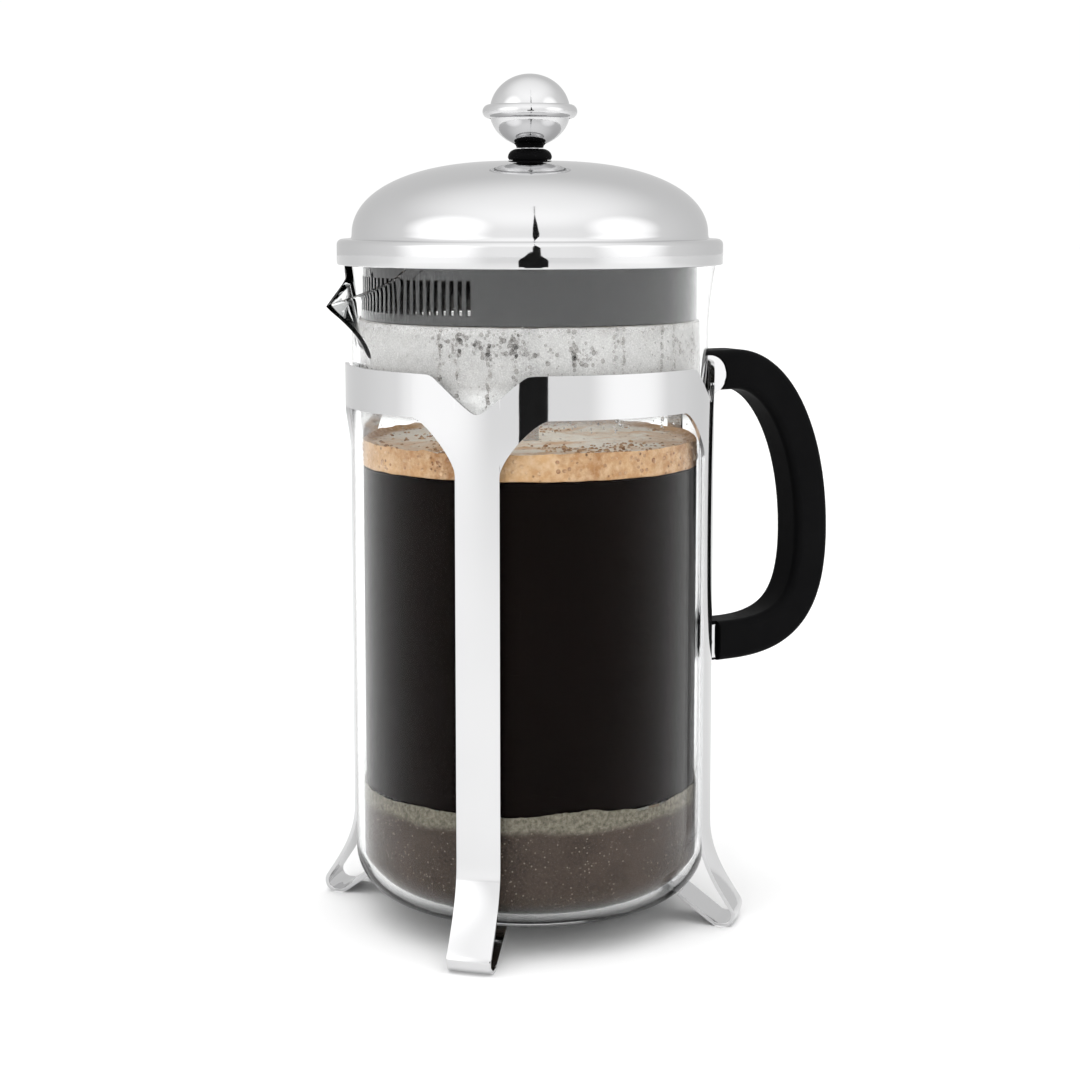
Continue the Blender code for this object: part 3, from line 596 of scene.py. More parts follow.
CHROME = chrome_look()
STEEL = steel_look()
BLACK = handle_look()
LINER = liner_look()
GLASS = glass_look()
MIST = mist_look()
WATER = water_look()
COFFEE = coffee_look()
FOAM = foam_look()
BUBBLE = bubble_look()
GROUNDS = grounds_look()
WOVEN = woven_look()


# Beaker.


def spout_shape(point):
    """Pushes the rim out and down into a pinched V over the spout's angle."""
    base = hypot(point.x, point.y)
    angle = abs(pi - abs(atan2(point.y, point.x)))
    height = min(1.0, (point.z - SPOUT_START) / (RIM_TOP - RIM_ROUND - SPOUT_START))
    if height <= 0 or angle >= SPOUT_DROP_ANGLE:
        return
    out = SPOUT_REACH - BEAKER_RADIUS - RIM_FLARE
    push = out * max(0.0, 1 - angle / SPOUT_HALF_ANGLE) ** SPOUT_PINCH * height**SPOUT_RISE
    drop = SPOUT_DROP * (1 - angle / SPOUT_DROP_ANGLE) ** SPOUT_SAG * height
    point.x *= (base + push) / base
    point.y *= (base + push) / base
    point.z -= drop


def beaker_angles():
    """Angles round the beaker, close together over the spout."""
    fine = radians(0.6)
    half = radians(27)
    count = round(2 * half / fine)
    spout = [pi - half + 2 * half * i / count for i in range(count)]
    rest = 2 * pi - 2 * half
    steps = round(rest / radians(2))
    return spout + [pi + half + rest * i / steps for i in range(steps)]


def flared(radius):
    """The upper wall, which opens out a little towards the rim."""
    steps = 14
    heights = [SPOUT_START + (FLARE_END - SPOUT_START) * i / steps for i in range(steps + 1)]
    opening = [max(0.0, (z - FLARE_START) / (FLARE_END - FLARE_START)) for z in heights]
    return [(radius + RIM_FLARE * part**RIM_GROWTH, z) for part, z in zip(opening, heights)]


def make_beaker():
    outer, inner = BEAKER_RADIUS, BEAKER_RADIUS - WALL
    corner = (outer - BEAKER_CORNER, BEAKER_BOTTOM + BEAKER_CORNER)
    inner_corner = BEAKER_CORNER - WALL
    inner_centre = (inner - inner_corner, BEAKER_FLOOR + inner_corner)
    edge = RIM_TOP - RIM_ROUND
    middle = (inner + outer) / 2 + RIM_FLARE
    half = WALL / 2
    turns = [pi * i / 10 for i in range(11)]
    rim = [(middle - half * cos(a), edge + RIM_ROUND * sin(a)) for a in turns]
    inside = [(0, BEAKER_FLOOR), (0.018, BEAKER_FLOOR)]
    inside += arc(inner_centre, inner_corner, -90, 0, 14)
    inside += [(inner, 0.08), (inner, 0.13)] + flared(inner)
    outside = [(outer, 0.08), (outer, 0.13)] + flared(outer)
    hollow = BEAKER_BOTTOM + BASE_HOLLOW
    base = arc(corner, BEAKER_CORNER, 0, -90, 16)
    base += [(0.028, BEAKER_BOTTOM), (0.018, hollow), (0, hollow)]
    profile = inside + rim + outside[::-1] + base
    bm = lathe(profile, closed=False, angles=beaker_angles())
    for vert in bm.verts:
        spout_shape(vert.co)
    obj = mesh_object("beaker_glass", bm, GLASS)
    place(obj, "beaker", "beaker_glass", "beaker")


# What is in the beaker: grounds, coffee, foam and steam on the wall.


def silt_top(turn):
    """Height of the wavy edge of the silt that rises round the filter's rim."""
    spot = Vector((cos(turn), sin(turn), 0.0))
    waves = ((2.2, 0.0016), (9, 0.0006), (40, 0.0003))
    return FILTER_TOP + 0.0006 + sum(noise.noise(spot * often) * size for often, size in waves)


def make_grounds():
    inner_corner = BEAKER_CORNER - WALL
    gap = BEAKER_RADIUS - WALL - SILT_RADIUS
    centre = (BEAKER_RADIUS - WALL - inner_corner, BEAKER_FLOOR + inner_corner)
    seat = FILTER_BOTTOM - 0.0001
    inside = SILT_RADIUS - 0.00018
    top = FILTER_TOP
    profile = [(0, BEAKER_FLOOR + gap), (0.015, BEAKER_FLOOR + gap)]
    profile += arc(centre, inner_corner - gap, -90, 0, 12)
    levels = 20
    start = centre[1]
    profile += [(SILT_RADIUS, start + (top - start) * i / levels) for i in range(1, levels + 1)]
    profile += [(inside, top), (inside, seat), (0.030, seat), (0, seat)]
    bm = lathe(profile, steps=256, closed=False)
    for vert in bm.verts:
        r = hypot(vert.co.x, vert.co.y)
        if vert.co.z > seat + 1e-5 and r > 0.04:
            rise = silt_top(atan2(vert.co.y, vert.co.x)) - top
            vert.co.z += rise * (vert.co.z - seat) / (top - seat)
        elif r > 0.030 and vert.co.z < seat - 1e-5:
            rough = noise.noise(vert.co * 900) * 0.00012 + noise.noise(vert.co * 350) * 0.0001
            scale = 1 - max(0.0, rough + 0.0001) / r
            vert.co.x *= scale
            vert.co.y *= scale
    obj = mesh_object("coffee_grounds", bm, GROUNDS, sharp=60)
    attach(obj, "beaker")


def make_coffee():
    base = FILTER_TOP + 0.0002
    edge = 0.0002
    profile = [(0, base), (LIQUID_RADIUS - edge, base), (LIQUID_RADIUS, base + edge)]
    profile += [(LIQUID_RADIUS, z) for z in (0.06, 0.09, COFFEE_TOP)] + [(0, COFFEE_TOP)]
    obj = mesh_object("coffee", lathe(profile, closed=False), COFFEE)
    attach(obj, "beaker")


def foam_height(x, y):
    """How far the foam's top stands above its level at a place: soft swells and tight clumps."""
    swell = noise.noise(Vector((x * 55, y * 55, 0.3)))
    clump = noise.noise(Vector((x * 190, y * 190, 4.1)))
    froth = noise.noise(Vector((x * 700, y * 700, 9.7)))
    return 0.0005 * swell + 0.0007 * max(0.0, clump) + 0.00018 * froth


def make_foam():
    base = COFFEE_TOP + 0.0001
    rings = 60
    rim = LIQUID_RADIUS
    hole = ROD_RADIUS + 0.0002
    profile = [(hole, base), (rim - 0.0003, base), (rim, base + 0.0003)]
    profile += [(rim, base + 0.0022), (rim, base + 0.0042), (rim, FOAM_TOP + 0.0002)]
    top = [(rim - 0.0002 - (rim - 0.0002 - hole) * i / rings, FOAM_TOP) for i in range(rings + 1)]
    bm = lathe(profile + top, steps=256)
    for vert in bm.verts:
        r = hypot(vert.co.x, vert.co.y)
        if abs(vert.co.z - FOAM_TOP) < 0.0003:
            vert.co.z += foam_height(vert.co.x, vert.co.y)
            vert.co.z += 0.0009 * exp(-(rim - r) / 0.0012)
        elif r > 0.03 and vert.co.z < base + 0.0005:
            turn = atan2(vert.co.y, vert.co.x)
            vert.co.z += 0.0002 + 0.0002 * noise.noise(Vector((9 * cos(turn), 9 * sin(turn), 1.0)))
    obj = mesh_object("foam", bm, FOAM, sharp=70)
    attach(obj, "beaker")


def make_bubbles():
    """Bubbles on the foam's top, crowded at the wall and in a few rafts."""
    draw = random.Random(41)
    up, side = Vector((0, 0, 1)), Vector((1, 0, 0))
    rafts = [(draw.uniform(0, 2 * pi), draw.uniform(0.020, 0.040)) for _ in range(9)]
    bm = bmesh.new()
    for i in range(900):
        if i % 3 == 0:
            turn = draw.uniform(0, 2 * pi)
            r = LIQUID_RADIUS - 0.0012 - abs(draw.gauss(0, 0.0022))
            x, y = r * cos(turn), r * sin(turn)
        else:
            turn, middle = rafts[draw.randrange(len(rafts))]
            x = middle * cos(turn) + draw.gauss(0, 0.0045)
            y = middle * sin(turn) + draw.gauss(0, 0.0045)
        size = draw.uniform(0.00018, 0.00055) * (1.7 if draw.random() < 0.08 else 1.0)
        if not 0.006 < hypot(x, y) < LIQUID_RADIUS - 0.0006 - size:
            continue
        centre = Vector((x, y, FOAM_TOP + foam_height(x, y) - 0.0001))
        add_dome(bm, centre, up, side, size, size * 0.9, sides=8)
    for _ in range(230):
        turn = draw.uniform(0, 2 * pi)
        size = draw.uniform(0.00022, 0.00060) * (1.5 if draw.random() < 0.10 else 1.0)
        centre = Vector((LIQUID_RADIUS * cos(turn), LIQUID_RADIUS * sin(turn), 0))
        centre.z = draw.uniform(COFFEE_TOP + 0.0010 + size, FOAM_TOP - size * 0.5)
        out = Vector((cos(turn), sin(turn), 0))
        add_dome(bm, centre, out, up, size, min(0.0004, size * 0.6))
    obj = mesh_object("foam_bubbles", bm, BUBBLE, sharp=80)
    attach(obj, "beaker")


def make_drops():
    """Drops on the inside wall between the foam and the lid, in clusters and short runs."""
    draw = random.Random(7)
    wall = BEAKER_RADIUS - WALL
    low_z, high_z = FOAM_TOP + 0.0060, SKIRT_BOTTOM + 0.0005
    bm = bmesh.new()

    def add(turn, z, size):
        if not low_z + size < z < high_z - size:
            return
        inward = Vector((-cos(turn), -sin(turn), 0))
        centre = -inward * (wall - 0.00001)
        centre.z = z
        tall = min(DROP_HEIGHT, size * draw.uniform(0.35, 0.6))
        add_dome(bm, centre, inward, Vector((0, 0, 1)), size, tall, stretch=draw.uniform(0.9, 1.25))

    for _ in range(1300):
        add(draw.uniform(0, 2 * pi), draw.uniform(low_z, high_z), draw.uniform(0.00012, 0.00028))
    clusters = [(radians(draw.uniform(0, 360)), draw.uniform(low_z, high_z)) for _ in range(16)]
    in_front = ((226, 0.1585), (233, 0.1590), (241, 0.1570), (258, 0.1560))
    clusters += [(radians(a), z) for a, z in in_front]
    for turn, z in clusters:
        spread = draw.uniform(0.05, 0.12)
        for _ in range(34):
            add(turn + draw.gauss(0, spread), z + draw.gauss(0, 0.0022),
                draw.uniform(0.0002, 0.00062))
    runs = [radians(draw.uniform(0, 360)) for _ in range(10)]
    runs += [radians(a) for a in (236, 254, 271)]
    for turn in runs:
        z = high_z
        while z > low_z:
            z -= draw.uniform(0.0005, 0.0016)
            add(turn + draw.gauss(0, 0.008), z, draw.uniform(0.0002, 0.0007))
    obj = mesh_object("condensation", bm, WATER, sharp=80)
    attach(obj, "beaker")


def make_mist():
    """The steam on the wall, as a thin film just behind the drops."""
    top = SKIRT_BOTTOM - 0.0002
    thick = 0.00005
    levels = 8
    heights = [MIST_BOTTOM + (top - MIST_BOTTOM) * i / levels for i in range(levels + 1)]
    profile = [(MIST_RADIUS, z) for z in heights]
    profile += [(MIST_RADIUS - thick, z) for z in reversed(heights)]
    obj = mesh_object("steam_film", lathe(profile), MIST)
    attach(obj, "beaker")


# Frame: one bent and folded sheet, drawn as its middle surface and then thickened.


def notch_top(s):
    """Height of the sheet's upper edge at a distance s from a leg's middle: a rounded V."""
    edge = NOTCH_BOTTOM + NOTCH_SLOPE * (hypot(s, NOTCH_ROUND) - NOTCH_ROUND)
    below = BAND_TOP - edge
    return BAND_TOP - (below + hypot(below, NOTCH_BLEND)) / 2


def leg_offsets():
    """(distance from the leg's middle, lower edge) from the leg's middle out along one arm."""
    arm = curve((LEG_HALF, LEG_ROOT), (LEG_HALF, 0.130), (0.0145, BAND_BOTTOM),
                (ARM_HALF, BAND_BOTTOM), 22)
    across = 7
    return [(LEG_HALF * i / across, LEG_ROOT) for i in range(across)] + arm


def band_columns():
    """(angle, top, bottom, on a leg) for every column of the ring, from ear to ear."""
    ear_angle = asin((EAR_Y + EAR_BEND) / (BAND_RADIUS + EAR_BEND))
    offsets = leg_offsets()
    columns = []
    previous = ear_angle

    def plain(to, first):
        fill = max(3, round((to - previous) / radians(2.5)))
        for i in range(first, fill):
            columns.append((previous + (to - previous) * i / fill, BAND_TOP, BAND_BOTTOM, False))

    for leg in LEG_ANGLES:
        middle = radians(leg)
        plain(middle - ARM_HALF / BAND_RADIUS, 0 if previous == ear_angle else 1)
        for s, bottom in reversed(offsets[1:]):
            columns.append((middle - s / BAND_RADIUS, notch_top(s), bottom, s <= LEG_HALF))
        for s, bottom in offsets:
            columns.append((middle + s / BAND_RADIUS, notch_top(s), bottom, s <= LEG_HALF))
        previous = middle + ARM_HALF / BAND_RADIUS
    last = 2 * pi - ear_angle
    plain(last, 1)
    columns.append((last, BAND_TOP, BAND_BOTTOM, False))
    return columns


def ear_columns(side):
    """(x, y, top, bottom) from the ring's end round the bend and out to the ear's round tip."""
    bend_y = EAR_Y + EAR_BEND
    bend_x = sqrt((BAND_RADIUS + EAR_BEND) ** 2 - bend_y**2)
    start = degrees(atan2(-bend_y, -bend_x))
    bends = 6
    places = [
        (bend_x + EAR_BEND * cos(radians(a)), bend_y + EAR_BEND * sin(radians(a)), EAR_HALF)
        for a in [start + (-90 - start) * i / bends for i in range(1, bends + 1)]
    ]
    middle = EAR_TIP - EAR_HALF
    for a in (0, 10, 20, 30, 40, 50, 60, 68, 75, 81, 86):
        places.append((middle + EAR_HALF * sin(radians(a)), EAR_Y, EAR_HALF * cos(radians(a))))
    return [(x, side * y, EAR_MIDDLE + h, EAR_MIDDLE - h) for x, y, h in places]


def leg_path():
    """(radius, height) down a leg, round the foot's bend and back up under the beaker."""
    bend = (FOOT_CENTRE, SHEET / 2 + FOOT_BEND)
    slope = radians(FOOT_SLOPE)
    knee = (bend[0] + FOOT_BEND * cos(slope), bend[1] + FOOT_BEND * sin(slope))
    before = (knee[0] - FOOT_LEAD * sin(slope), knee[1] + FOOT_LEAD * cos(slope))
    straight = [(BAND_RADIUS, LEG_ROOT + (FLARE_TOP - LEG_ROOT) * i / 12) for i in range(1, 12)]
    flare = curve((BAND_RADIUS, FLARE_TOP), (BAND_RADIUS, FLARE_HANDLE), before, knee, 16)
    foot = arc(bend, FOOT_BEND, FOOT_SLOPE, -90, 14)
    heel = FOOT_CENTRE - FOOT_FLAT
    turn_up = arc((heel, SHEET / 2 + RETURN_BEND), RETURN_BEND, -90, -90 - degrees(RETURN_ANGLE), 6)
    end_x, end_z = turn_up[-1]
    pieces = 5
    strip = [
        (end_x - RETURN_LENGTH * cos(RETURN_ANGLE) * i / pieces,
         end_z + RETURN_LENGTH * sin(RETURN_ANGLE) * i / pieces)
        for i in range(1, pieces + 1)
    ]
    return straight + flare + foot[1:] + turn_up + strip


def make_frame():
    bm = bmesh.new()
    rows = 5

    def column(x, y, top, bottom):
        return [bm.verts.new((x, y, top + (bottom - top) * i / rows)) for i in range(rows + 1)]

    def join(left, right):
        for i in range(len(left) - 1):
            bm.faces.new((left[i], left[i + 1], right[i + 1], right[i]))

    ring = band_columns()
    columns = [column(*spot) for spot in reversed(ear_columns(1))]
    first = len(columns)
    for angle, top, bottom, _ in ring:
        columns.append(column(BAND_RADIUS * cos(angle), BAND_RADIUS * sin(angle), top, bottom))
    columns += [column(*spot) for spot in ear_columns(-1)]
    for left, right in zip(columns, columns[1:]):
        join(left, right)

    legs = {}
    path = leg_path()
    for i, (angle, _, _, on_leg) in enumerate(ring):
        if not on_leg:
            continue
        leg = min(LEG_ANGLES, key=lambda a: abs(angle - radians(a)))
        s = (angle - radians(leg)) * BAND_RADIUS
        strip = [columns[first + i][-1]]
        for radius, height in path:
            turn = radians(leg) + s / radius
            strip.append(bm.verts.new((radius * cos(turn), radius * sin(turn), height)))
        legs.setdefault(leg, []).append(strip)
    for strips in legs.values():
        for left, right in zip(strips, strips[1:]):
            join(left, right)

    obj = mesh_object("frame_steel", bm, CHROME)
    sheet = obj.modifiers.new("sheet", "SOLIDIFY")
    sheet.thickness = SHEET
    sheet.offset = 0
    sheet.use_even_offset = True
    soften(obj, 0.00014)
    place(obj, "frame", "polished_steel", "frame")


# Handle and its rivets.


def handle_line():
    """The (x, z) middle line of the handle, from its upper end round to its lower end."""
    side = (HANDLE_MIDDLE, HANDLE_SIDE_Z)
    upper = curve((HANDLE_BEND_X, HANDLE_TOP_Z), (0.080, HANDLE_TOP_Z),
                  (HANDLE_MIDDLE, 0.126), side, 40)
    lower = curve(side, (HANDLE_MIDDLE, 0.077), (0.0845, HANDLE_LOW_Z),
                  (HANDLE_BEND_X, HANDLE_LOW_Z), 40)
    return [(HANDLE_START, HANDLE_TOP_Z)] + upper + lower[1:] + [(HANDLE_START, HANDLE_LOW_Z)]


def handle_section():
    """(across, outward) points of the handle's rounded square section."""
    flat = HANDLE_HALF - HANDLE_CORNER
    corners = ((1, 1), (-1, 1), (-1, -1), (1, -1))
    corner = HANDLE_CORNER
    section = []
    for quarter, (a, b) in enumerate(corners):
        for step in range(8):
            turn = radians(90 * quarter + 90 * step / 7)
            section.append((a * flat + corner * cos(turn), b * flat + corner * sin(turn)))
    return section


def prism(outline, low_y, high_y):
    """A closed block with an (x, z) outline, between two values of y."""
    bm = bmesh.new()
    face = bm.faces.new([bm.verts.new((x, low_y, z)) for x, z in outline])
    moved = bmesh.ops.extrude_face_region(bm, geom=[face])["geom"]
    verts = [item for item in moved if isinstance(item, bmesh.types.BMVert)]
    bmesh.ops.translate(bm, verts=verts, vec=(0, high_y - low_y, 0))
    return mesh_object("cutter", bm, BLACK)


def handle_cutters():
    """The recesses in the handle's two ends, into which the ears and the lower lugs fit."""
    back = 0.045
    middle = EAR_TIP - EAR_HALF
    radius = EAR_HALF + GAP
    under = EAR_MIDDLE - radius - 0.002
    ear = [(back, under), (middle, under)] + arc((middle, EAR_MIDDLE), radius, -90, 90, 33)
    ear += [(back, EAR_MIDDLE + radius)]
    low_z, high_z = HANDLE_LOW_Z - 0.009, HANDLE_LOW_Z + 0.009
    lug = [(back, low_z), (LOWER_TONGUE_END, low_z), (LOWER_TONGUE_END, high_z), (back, high_z)]
    cutters = []
    for side in (1, -1):
        ends = sorted((side * HANDLE_TONGUE, side * 0.008))
        cutters += [prism(ear, *ends), prism(lug, *ends)]
    return cutters


def make_handle():
    bm = bmesh.new()
    line = handle_line()
    rings = []
    for i, (x, z) in enumerate(line):
        before, after = line[max(i - 1, 0)], line[min(i + 1, len(line) - 1)]
        run, rise = after[0] - before[0], after[1] - before[1]
        length = hypot(run, rise)
        out = (-rise / length, run / length)
        rings.append([
            bm.verts.new((x + outward * out[0], across, z + outward * out[1]))
            for across, outward in handle_section()
        ])
    bridge(bm, rings)
    bm.faces.new(rings[0])
    bm.faces.new(rings[-1])
    obj = mesh_object("handle_grip", bm, BLACK)
    cut_with(obj, handle_cutters())
    soften(obj, 0.0002)
    place(obj, "frame", "handle_plastic", "handle")


def make_rivet(name, node):
    """A rivet with a low domed head at each end."""
    centre = (low(node) + high(node)) / 2
    radius = (high(node).x - low(node).x) / 2
    half = (high(node).y - low(node).y) / 2
    crown = 0.0002
    turns = [radians(15 * i) for i in range(7)]
    head = [(radius * cos(a), half - crown + crown * sin(a)) for a in turns]
    head[-1] = (0.0, head[-1][1])
    profile = [(r, -z) for r, z in reversed(head)] + head
    bm = lathe(profile, steps=FINE_ROUND, closed=False)
    for vert in bm.verts:
        x, y, z = vert.co
        vert.co = (centre.x - AXIS_X + x, z, centre.z + y)
    place(mesh_object(name, bm, CHROME), "frame", "polished_steel", node)


# Lid.


def make_dome():
    t = LID_SHEET
    flat = 0.0060
    outer = [(LID_HOLE, DOME_TOP)]
    outer += curve((flat, DOME_TOP), (0.033, DOME_TOP), (DOME_RADIUS, 0.1965),
                   (DOME_RADIUS, DOME_BASE), 56)
    inner = curve((flat, DOME_TOP - t), (0.0327, DOME_TOP - t), (DOME_RADIUS - t, 0.1960),
                  (DOME_RADIUS - t, DOME_BASE - t), 32)
    turn = (LID_RADIUS - LID_EDGE, LID_SHOULDER - LID_EDGE)
    cove = [(DOME_RADIUS + out, LID_SHOULDER + up)
            for out, up in ((0.0001, 0.0005), (0.0004, 0.0001), (0.0009, 0))]
    hem = arc((LID_RADIUS - t / 2, LID_BOTTOM + t / 2), t / 2, 0, -180, 7)
    profile = (
        outer + cove + arc(turn, LID_EDGE, 90, 0, 10)
        + [(LID_RADIUS, LID_BOTTOM + 0.003)] + hem
        + arc(turn, LID_EDGE - t, 0, 90, 6) + inner[::-1] + [(LID_HOLE, DOME_TOP - t)]
    )
    obj = mesh_object("lid_shell", lathe(profile), CHROME)
    place(obj, "lid", "polished_steel", "lid_dome")


def liner_angles():
    """Angles round the liner: (those over the strainer's slots, the rest)."""
    half = SLOT_COUNT * SLOT_PITCH / 2
    edges = [pi - half + SLOT_PITCH / 4 + i * SLOT_PITCH / 2 for i in range(2 * SLOT_COUNT)]
    rest = 2 * pi - (edges[-1] - edges[0])
    plain = round(rest / radians(2))
    return edges, [edges[-1] + rest * i / plain for i in range(1, plain)]


def make_liner():
    """Flange, skirt and web of the strainer, with an open slot between each pair of ribs."""
    node_low, node_high = low("lid_liner"), high("lid_liner")
    inner = SKIRT_RADIUS - SKIRT_WALL
    flange_low = RIM_TOP + GAP
    lip = 0.0003
    outer_side = [
        (inner, WEB_TOP), (inner, node_high.z), (reach("lid_liner") - lip, node_high.z),
        (reach("lid_liner"), node_high.z - lip), (reach("lid_liner"), flange_low),
        (SKIRT_RADIUS + lip, flange_low), (SKIRT_RADIUS, flange_low - lip),
        (SKIRT_RADIUS, SLOT_TOP), (SKIRT_RADIUS, SLOT_BOTTOM),
        (SKIRT_RADIUS, node_low.z + lip), (SKIRT_RADIUS - lip, node_low.z),
    ]
    inner_side = [(inner + lip, node_low.z), (inner, node_low.z + lip), (inner, SLOT_BOTTOM),
                  (inner, SLOT_TOP), (inner, WEB_BOTTOM)]
    profile = [(LID_HOLE, WEB_TOP)] + outer_side + inner_side + [(LID_HOLE, WEB_BOTTOM)]
    outside = profile.index((SKIRT_RADIUS, SLOT_TOP))
    inside = profile.index((inner, SLOT_BOTTOM))
    edges, plain = liner_angles()
    angles = edges + plain
    bm = bmesh.new()
    grid = [[bm.verts.new((r * cos(a), r * sin(a), z)) for r, z in profile] for a in angles]
    count = len(profile)
    for i, left in enumerate(grid):
        right = grid[(i + 1) % len(grid)]
        window = i < len(edges) - 1 and i % 2 == 0
        for j in range(count):
            k = (j + 1) % count
            if window and j in (outside, inside):
                continue
            bm.faces.new((left[j], left[k], right[k], right[j]))
        if window:
            for near, far in ((outside, inside + 1), (outside + 1, inside)):
                bm.faces.new((left[near], left[far], right[far], right[near]))
            for edge in (left, right):
                bm.faces.new((edge[outside], edge[outside + 1], edge[inside], edge[inside + 1]))
    obj = mesh_object("strainer", bm, LINER)
    soften(obj, 0.0001, 1)
    place(obj, "lid", "liner_plastic", "lid_liner")


def make_bushing():
    node = "lid_bushing"
    bore = ROD_RADIUS + GAP
    collar = reach(node)
    shank = 0.0047
    seat, top, bottom = DOME_TOP + GAP, high(node).z, low(node).z
    dome = curve((0.0038, top), (0.0052, top - 0.0003), (collar, seat + 0.0017),
                 (collar, seat + 0.0006), 12)
    profile = [(bore, top)] + dome + [(collar - 0.0003, seat), (shank, seat)]
    for i in range(int((seat - bottom - 0.0006) / THREAD_PITCH)):
        z = seat - 0.0003 - i * THREAD_PITCH
        profile += [(shank, z), (shank - THREAD_DEPTH, z - THREAD_PITCH / 2)]
    profile += [(shank - THREAD_DEPTH, bottom), (bore, bottom)]
    obj = mesh_object("lid_collar", lathe(profile, SMALL_ROUND), BLACK)
    place(obj, "lid_hub", "handle_plastic", node)


# Knob and rod.


def shell_arc(rise, start, end, points, inset=0.0):
    """Points on the knob's outline, at angles above (or below) its equator."""
    turn = [radians(start + (end - start) * i / (points - 1)) for i in range(points)]
    radius = KNOB_RADIUS - inset
    return [(radius * cos(a), KNOB_EQUATOR + (rise - inset) * sin(a)) for a in turn]


def make_knob():
    above = KNOB_TOP - KNOB_EQUATOR
    top = shell_arc(above, 90, 1, 32) + shell_arc(above, 1, 90, 16, KNOB_SHEET)
    top[0], top[-1] = (0.0, top[0][1]), (0.0, top[-1][1])
    obj = mesh_object("knob_upper_shell", lathe(top, SMALL_ROUND, closed=False), CHROME)
    place(obj, "plunger", "polished_steel", "knob_top")

    mouth = degrees(acos(KNOB_MOUTH / KNOB_RADIUS))
    mouth_inside = degrees(acos(KNOB_MOUTH / (KNOB_RADIUS - KNOB_SHEET)))
    bottom = shell_arc(KNOB_RISE_BELOW, -1, -mouth, 28)
    bottom += shell_arc(KNOB_RISE_BELOW, -mouth_inside, -1, 14, KNOB_SHEET)
    obj = mesh_object("knob_lower_shell", lathe(bottom, SMALL_ROUND), CHROME)
    place(obj, "plunger", "polished_steel", "knob_bottom")

    inner = KNOB_RADIUS + 0.00005
    ring = [(inner, KNOB_EQUATOR + RING_HALF)]
    ring += arc((RING_RADIUS - RING_HALF, KNOB_EQUATOR), RING_HALF, 84, -84, 22)
    ring += [(inner, KNOB_EQUATOR - RING_HALF)]
    obj = mesh_object("knob_band", lathe(ring, SMALL_ROUND), CHROME)
    place(obj, "plunger", "polished_steel", "knob_ring")

    node = "knob_ferrule"
    bore, neck_radius = ROD_RADIUS + GAP, 0.0036
    radius, bottom_z, top_z = reach(node), low(node).z, high(node).z
    rim = top_z - 0.0006
    neck = curve((radius, rim), (radius, rim - 0.0006), (neck_radius, bottom_z + 0.0009),
                 (neck_radius, bottom_z), 8)
    ferrule = [(bore, top_z), (radius - 0.0003, top_z)] + neck + [(bore, bottom_z)]
    obj = mesh_object("knob_neck", lathe(ferrule, SMALL_ROUND), BLACK)
    place(obj, "plunger", "handle_plastic", node)


def make_rod():
    bottom, top = low("plunger_rod").z, high("plunger_rod").z
    taper = 0.0004
    thread_top = bottom + THREAD_LENGTH
    profile = [(0, top), (ROD_RADIUS - taper, top), (ROD_RADIUS, top - taper)]
    profile.append((ROD_RADIUS, thread_top))
    for i in range(int((thread_top - bottom - taper) / THREAD_PITCH)):
        z = thread_top - i * THREAD_PITCH
        profile.append((ROD_RADIUS - THREAD_DEPTH, z - THREAD_PITCH / 2))
        profile.append((ROD_RADIUS, z - THREAD_PITCH))
    profile += [(ROD_RADIUS - taper, bottom), (0, bottom)]
    obj = mesh_object("rod", lathe(profile, FINE_ROUND, closed=False), STEEL)
    place(obj, "plunger", "plain_steel", "plunger_rod")


# Filter.


def make_mesh_filter():
    bore = ROD_RADIUS + GAP
    sheet = 0.0005
    radius = reach("mesh_filter")
    top = FILTER_BOTTOM + sheet
    under = [(0.0436, FILTER_BOTTOM), (bore, FILTER_BOTTOM)]
    inner = [(bore, top), (0.020, top), (0.0430, top), (radius - sheet, top + 0.0018)]
    hem = arc((radius - sheet / 2, FILTER_TOP - sheet / 2), sheet / 2, 180, 0, 7)
    outer = [(radius, FILTER_TOP - 0.002), (radius, top + 0.0012)]
    profile = inner + hem + outer + under
    obj = mesh_object("filter_screen", lathe(profile), WOVEN)
    place(obj, "plunger", "filter_mesh", "mesh_filter")


def make_spring():
    """The spring that presses the screen to the glass: a wire coiled round the plate's edge."""
    node = "spring_coil"
    tube = (high(node).z - low(node).z) / 2
    wire = 0.00032
    ring = reach(node) - tube
    middle = low(node).z + tube
    coils, per_coil = 110, 12
    coil_radius = tube - wire
    line = []
    for i in range(coils * per_coil):
        turn = 2 * pi * i / (coils * per_coil)
        wind = 2 * pi * i / per_coil
        r = ring + coil_radius * cos(wind)
        line.append(Vector((r * cos(turn), r * sin(turn), middle + coil_radius * sin(wind))))
    bm = bmesh.new()
    swept(bm, line, wire, 6)
    obj = mesh_object("filter_spring", bm, STEEL, sharp=80)
    place(obj, "plunger", "plain_steel", node)


# CAD nodes that are shown as they are, with these finishes.
KEPT_NODES = (
    (CHROME, ("handle_bracket",)),
    (BLACK, ("lid_nut", "knob_insert")),
    (STEEL, ("lid_washer", "filter_hub", "spiral_plate", "cross_plate", "filter_nut")),
)


def finish_kept_nodes():
    for mat, names in KEPT_NODES:
        for name in names:
            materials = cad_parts[name].data.materials
            materials.clear()
            materials.append(mat)



# Studio.

CAMERA_DISTANCE = 0.566
CAMERA_HEIGHT = 0.1934
CAMERA_PITCH = radians(6.5)
CAMERA_ASIDE = 0.0027
CAMERA_LENS = 69.8
CAMERA_SHIFT = -0.0897


def around(turn, distance, height):
    """A place at an angle from the camera's side of the press, positive to the camera's right."""
    angle = CAMERA_TURN + turn
    return Vector((AXIS_X + distance * sin(angle), -distance * cos(angle), height))


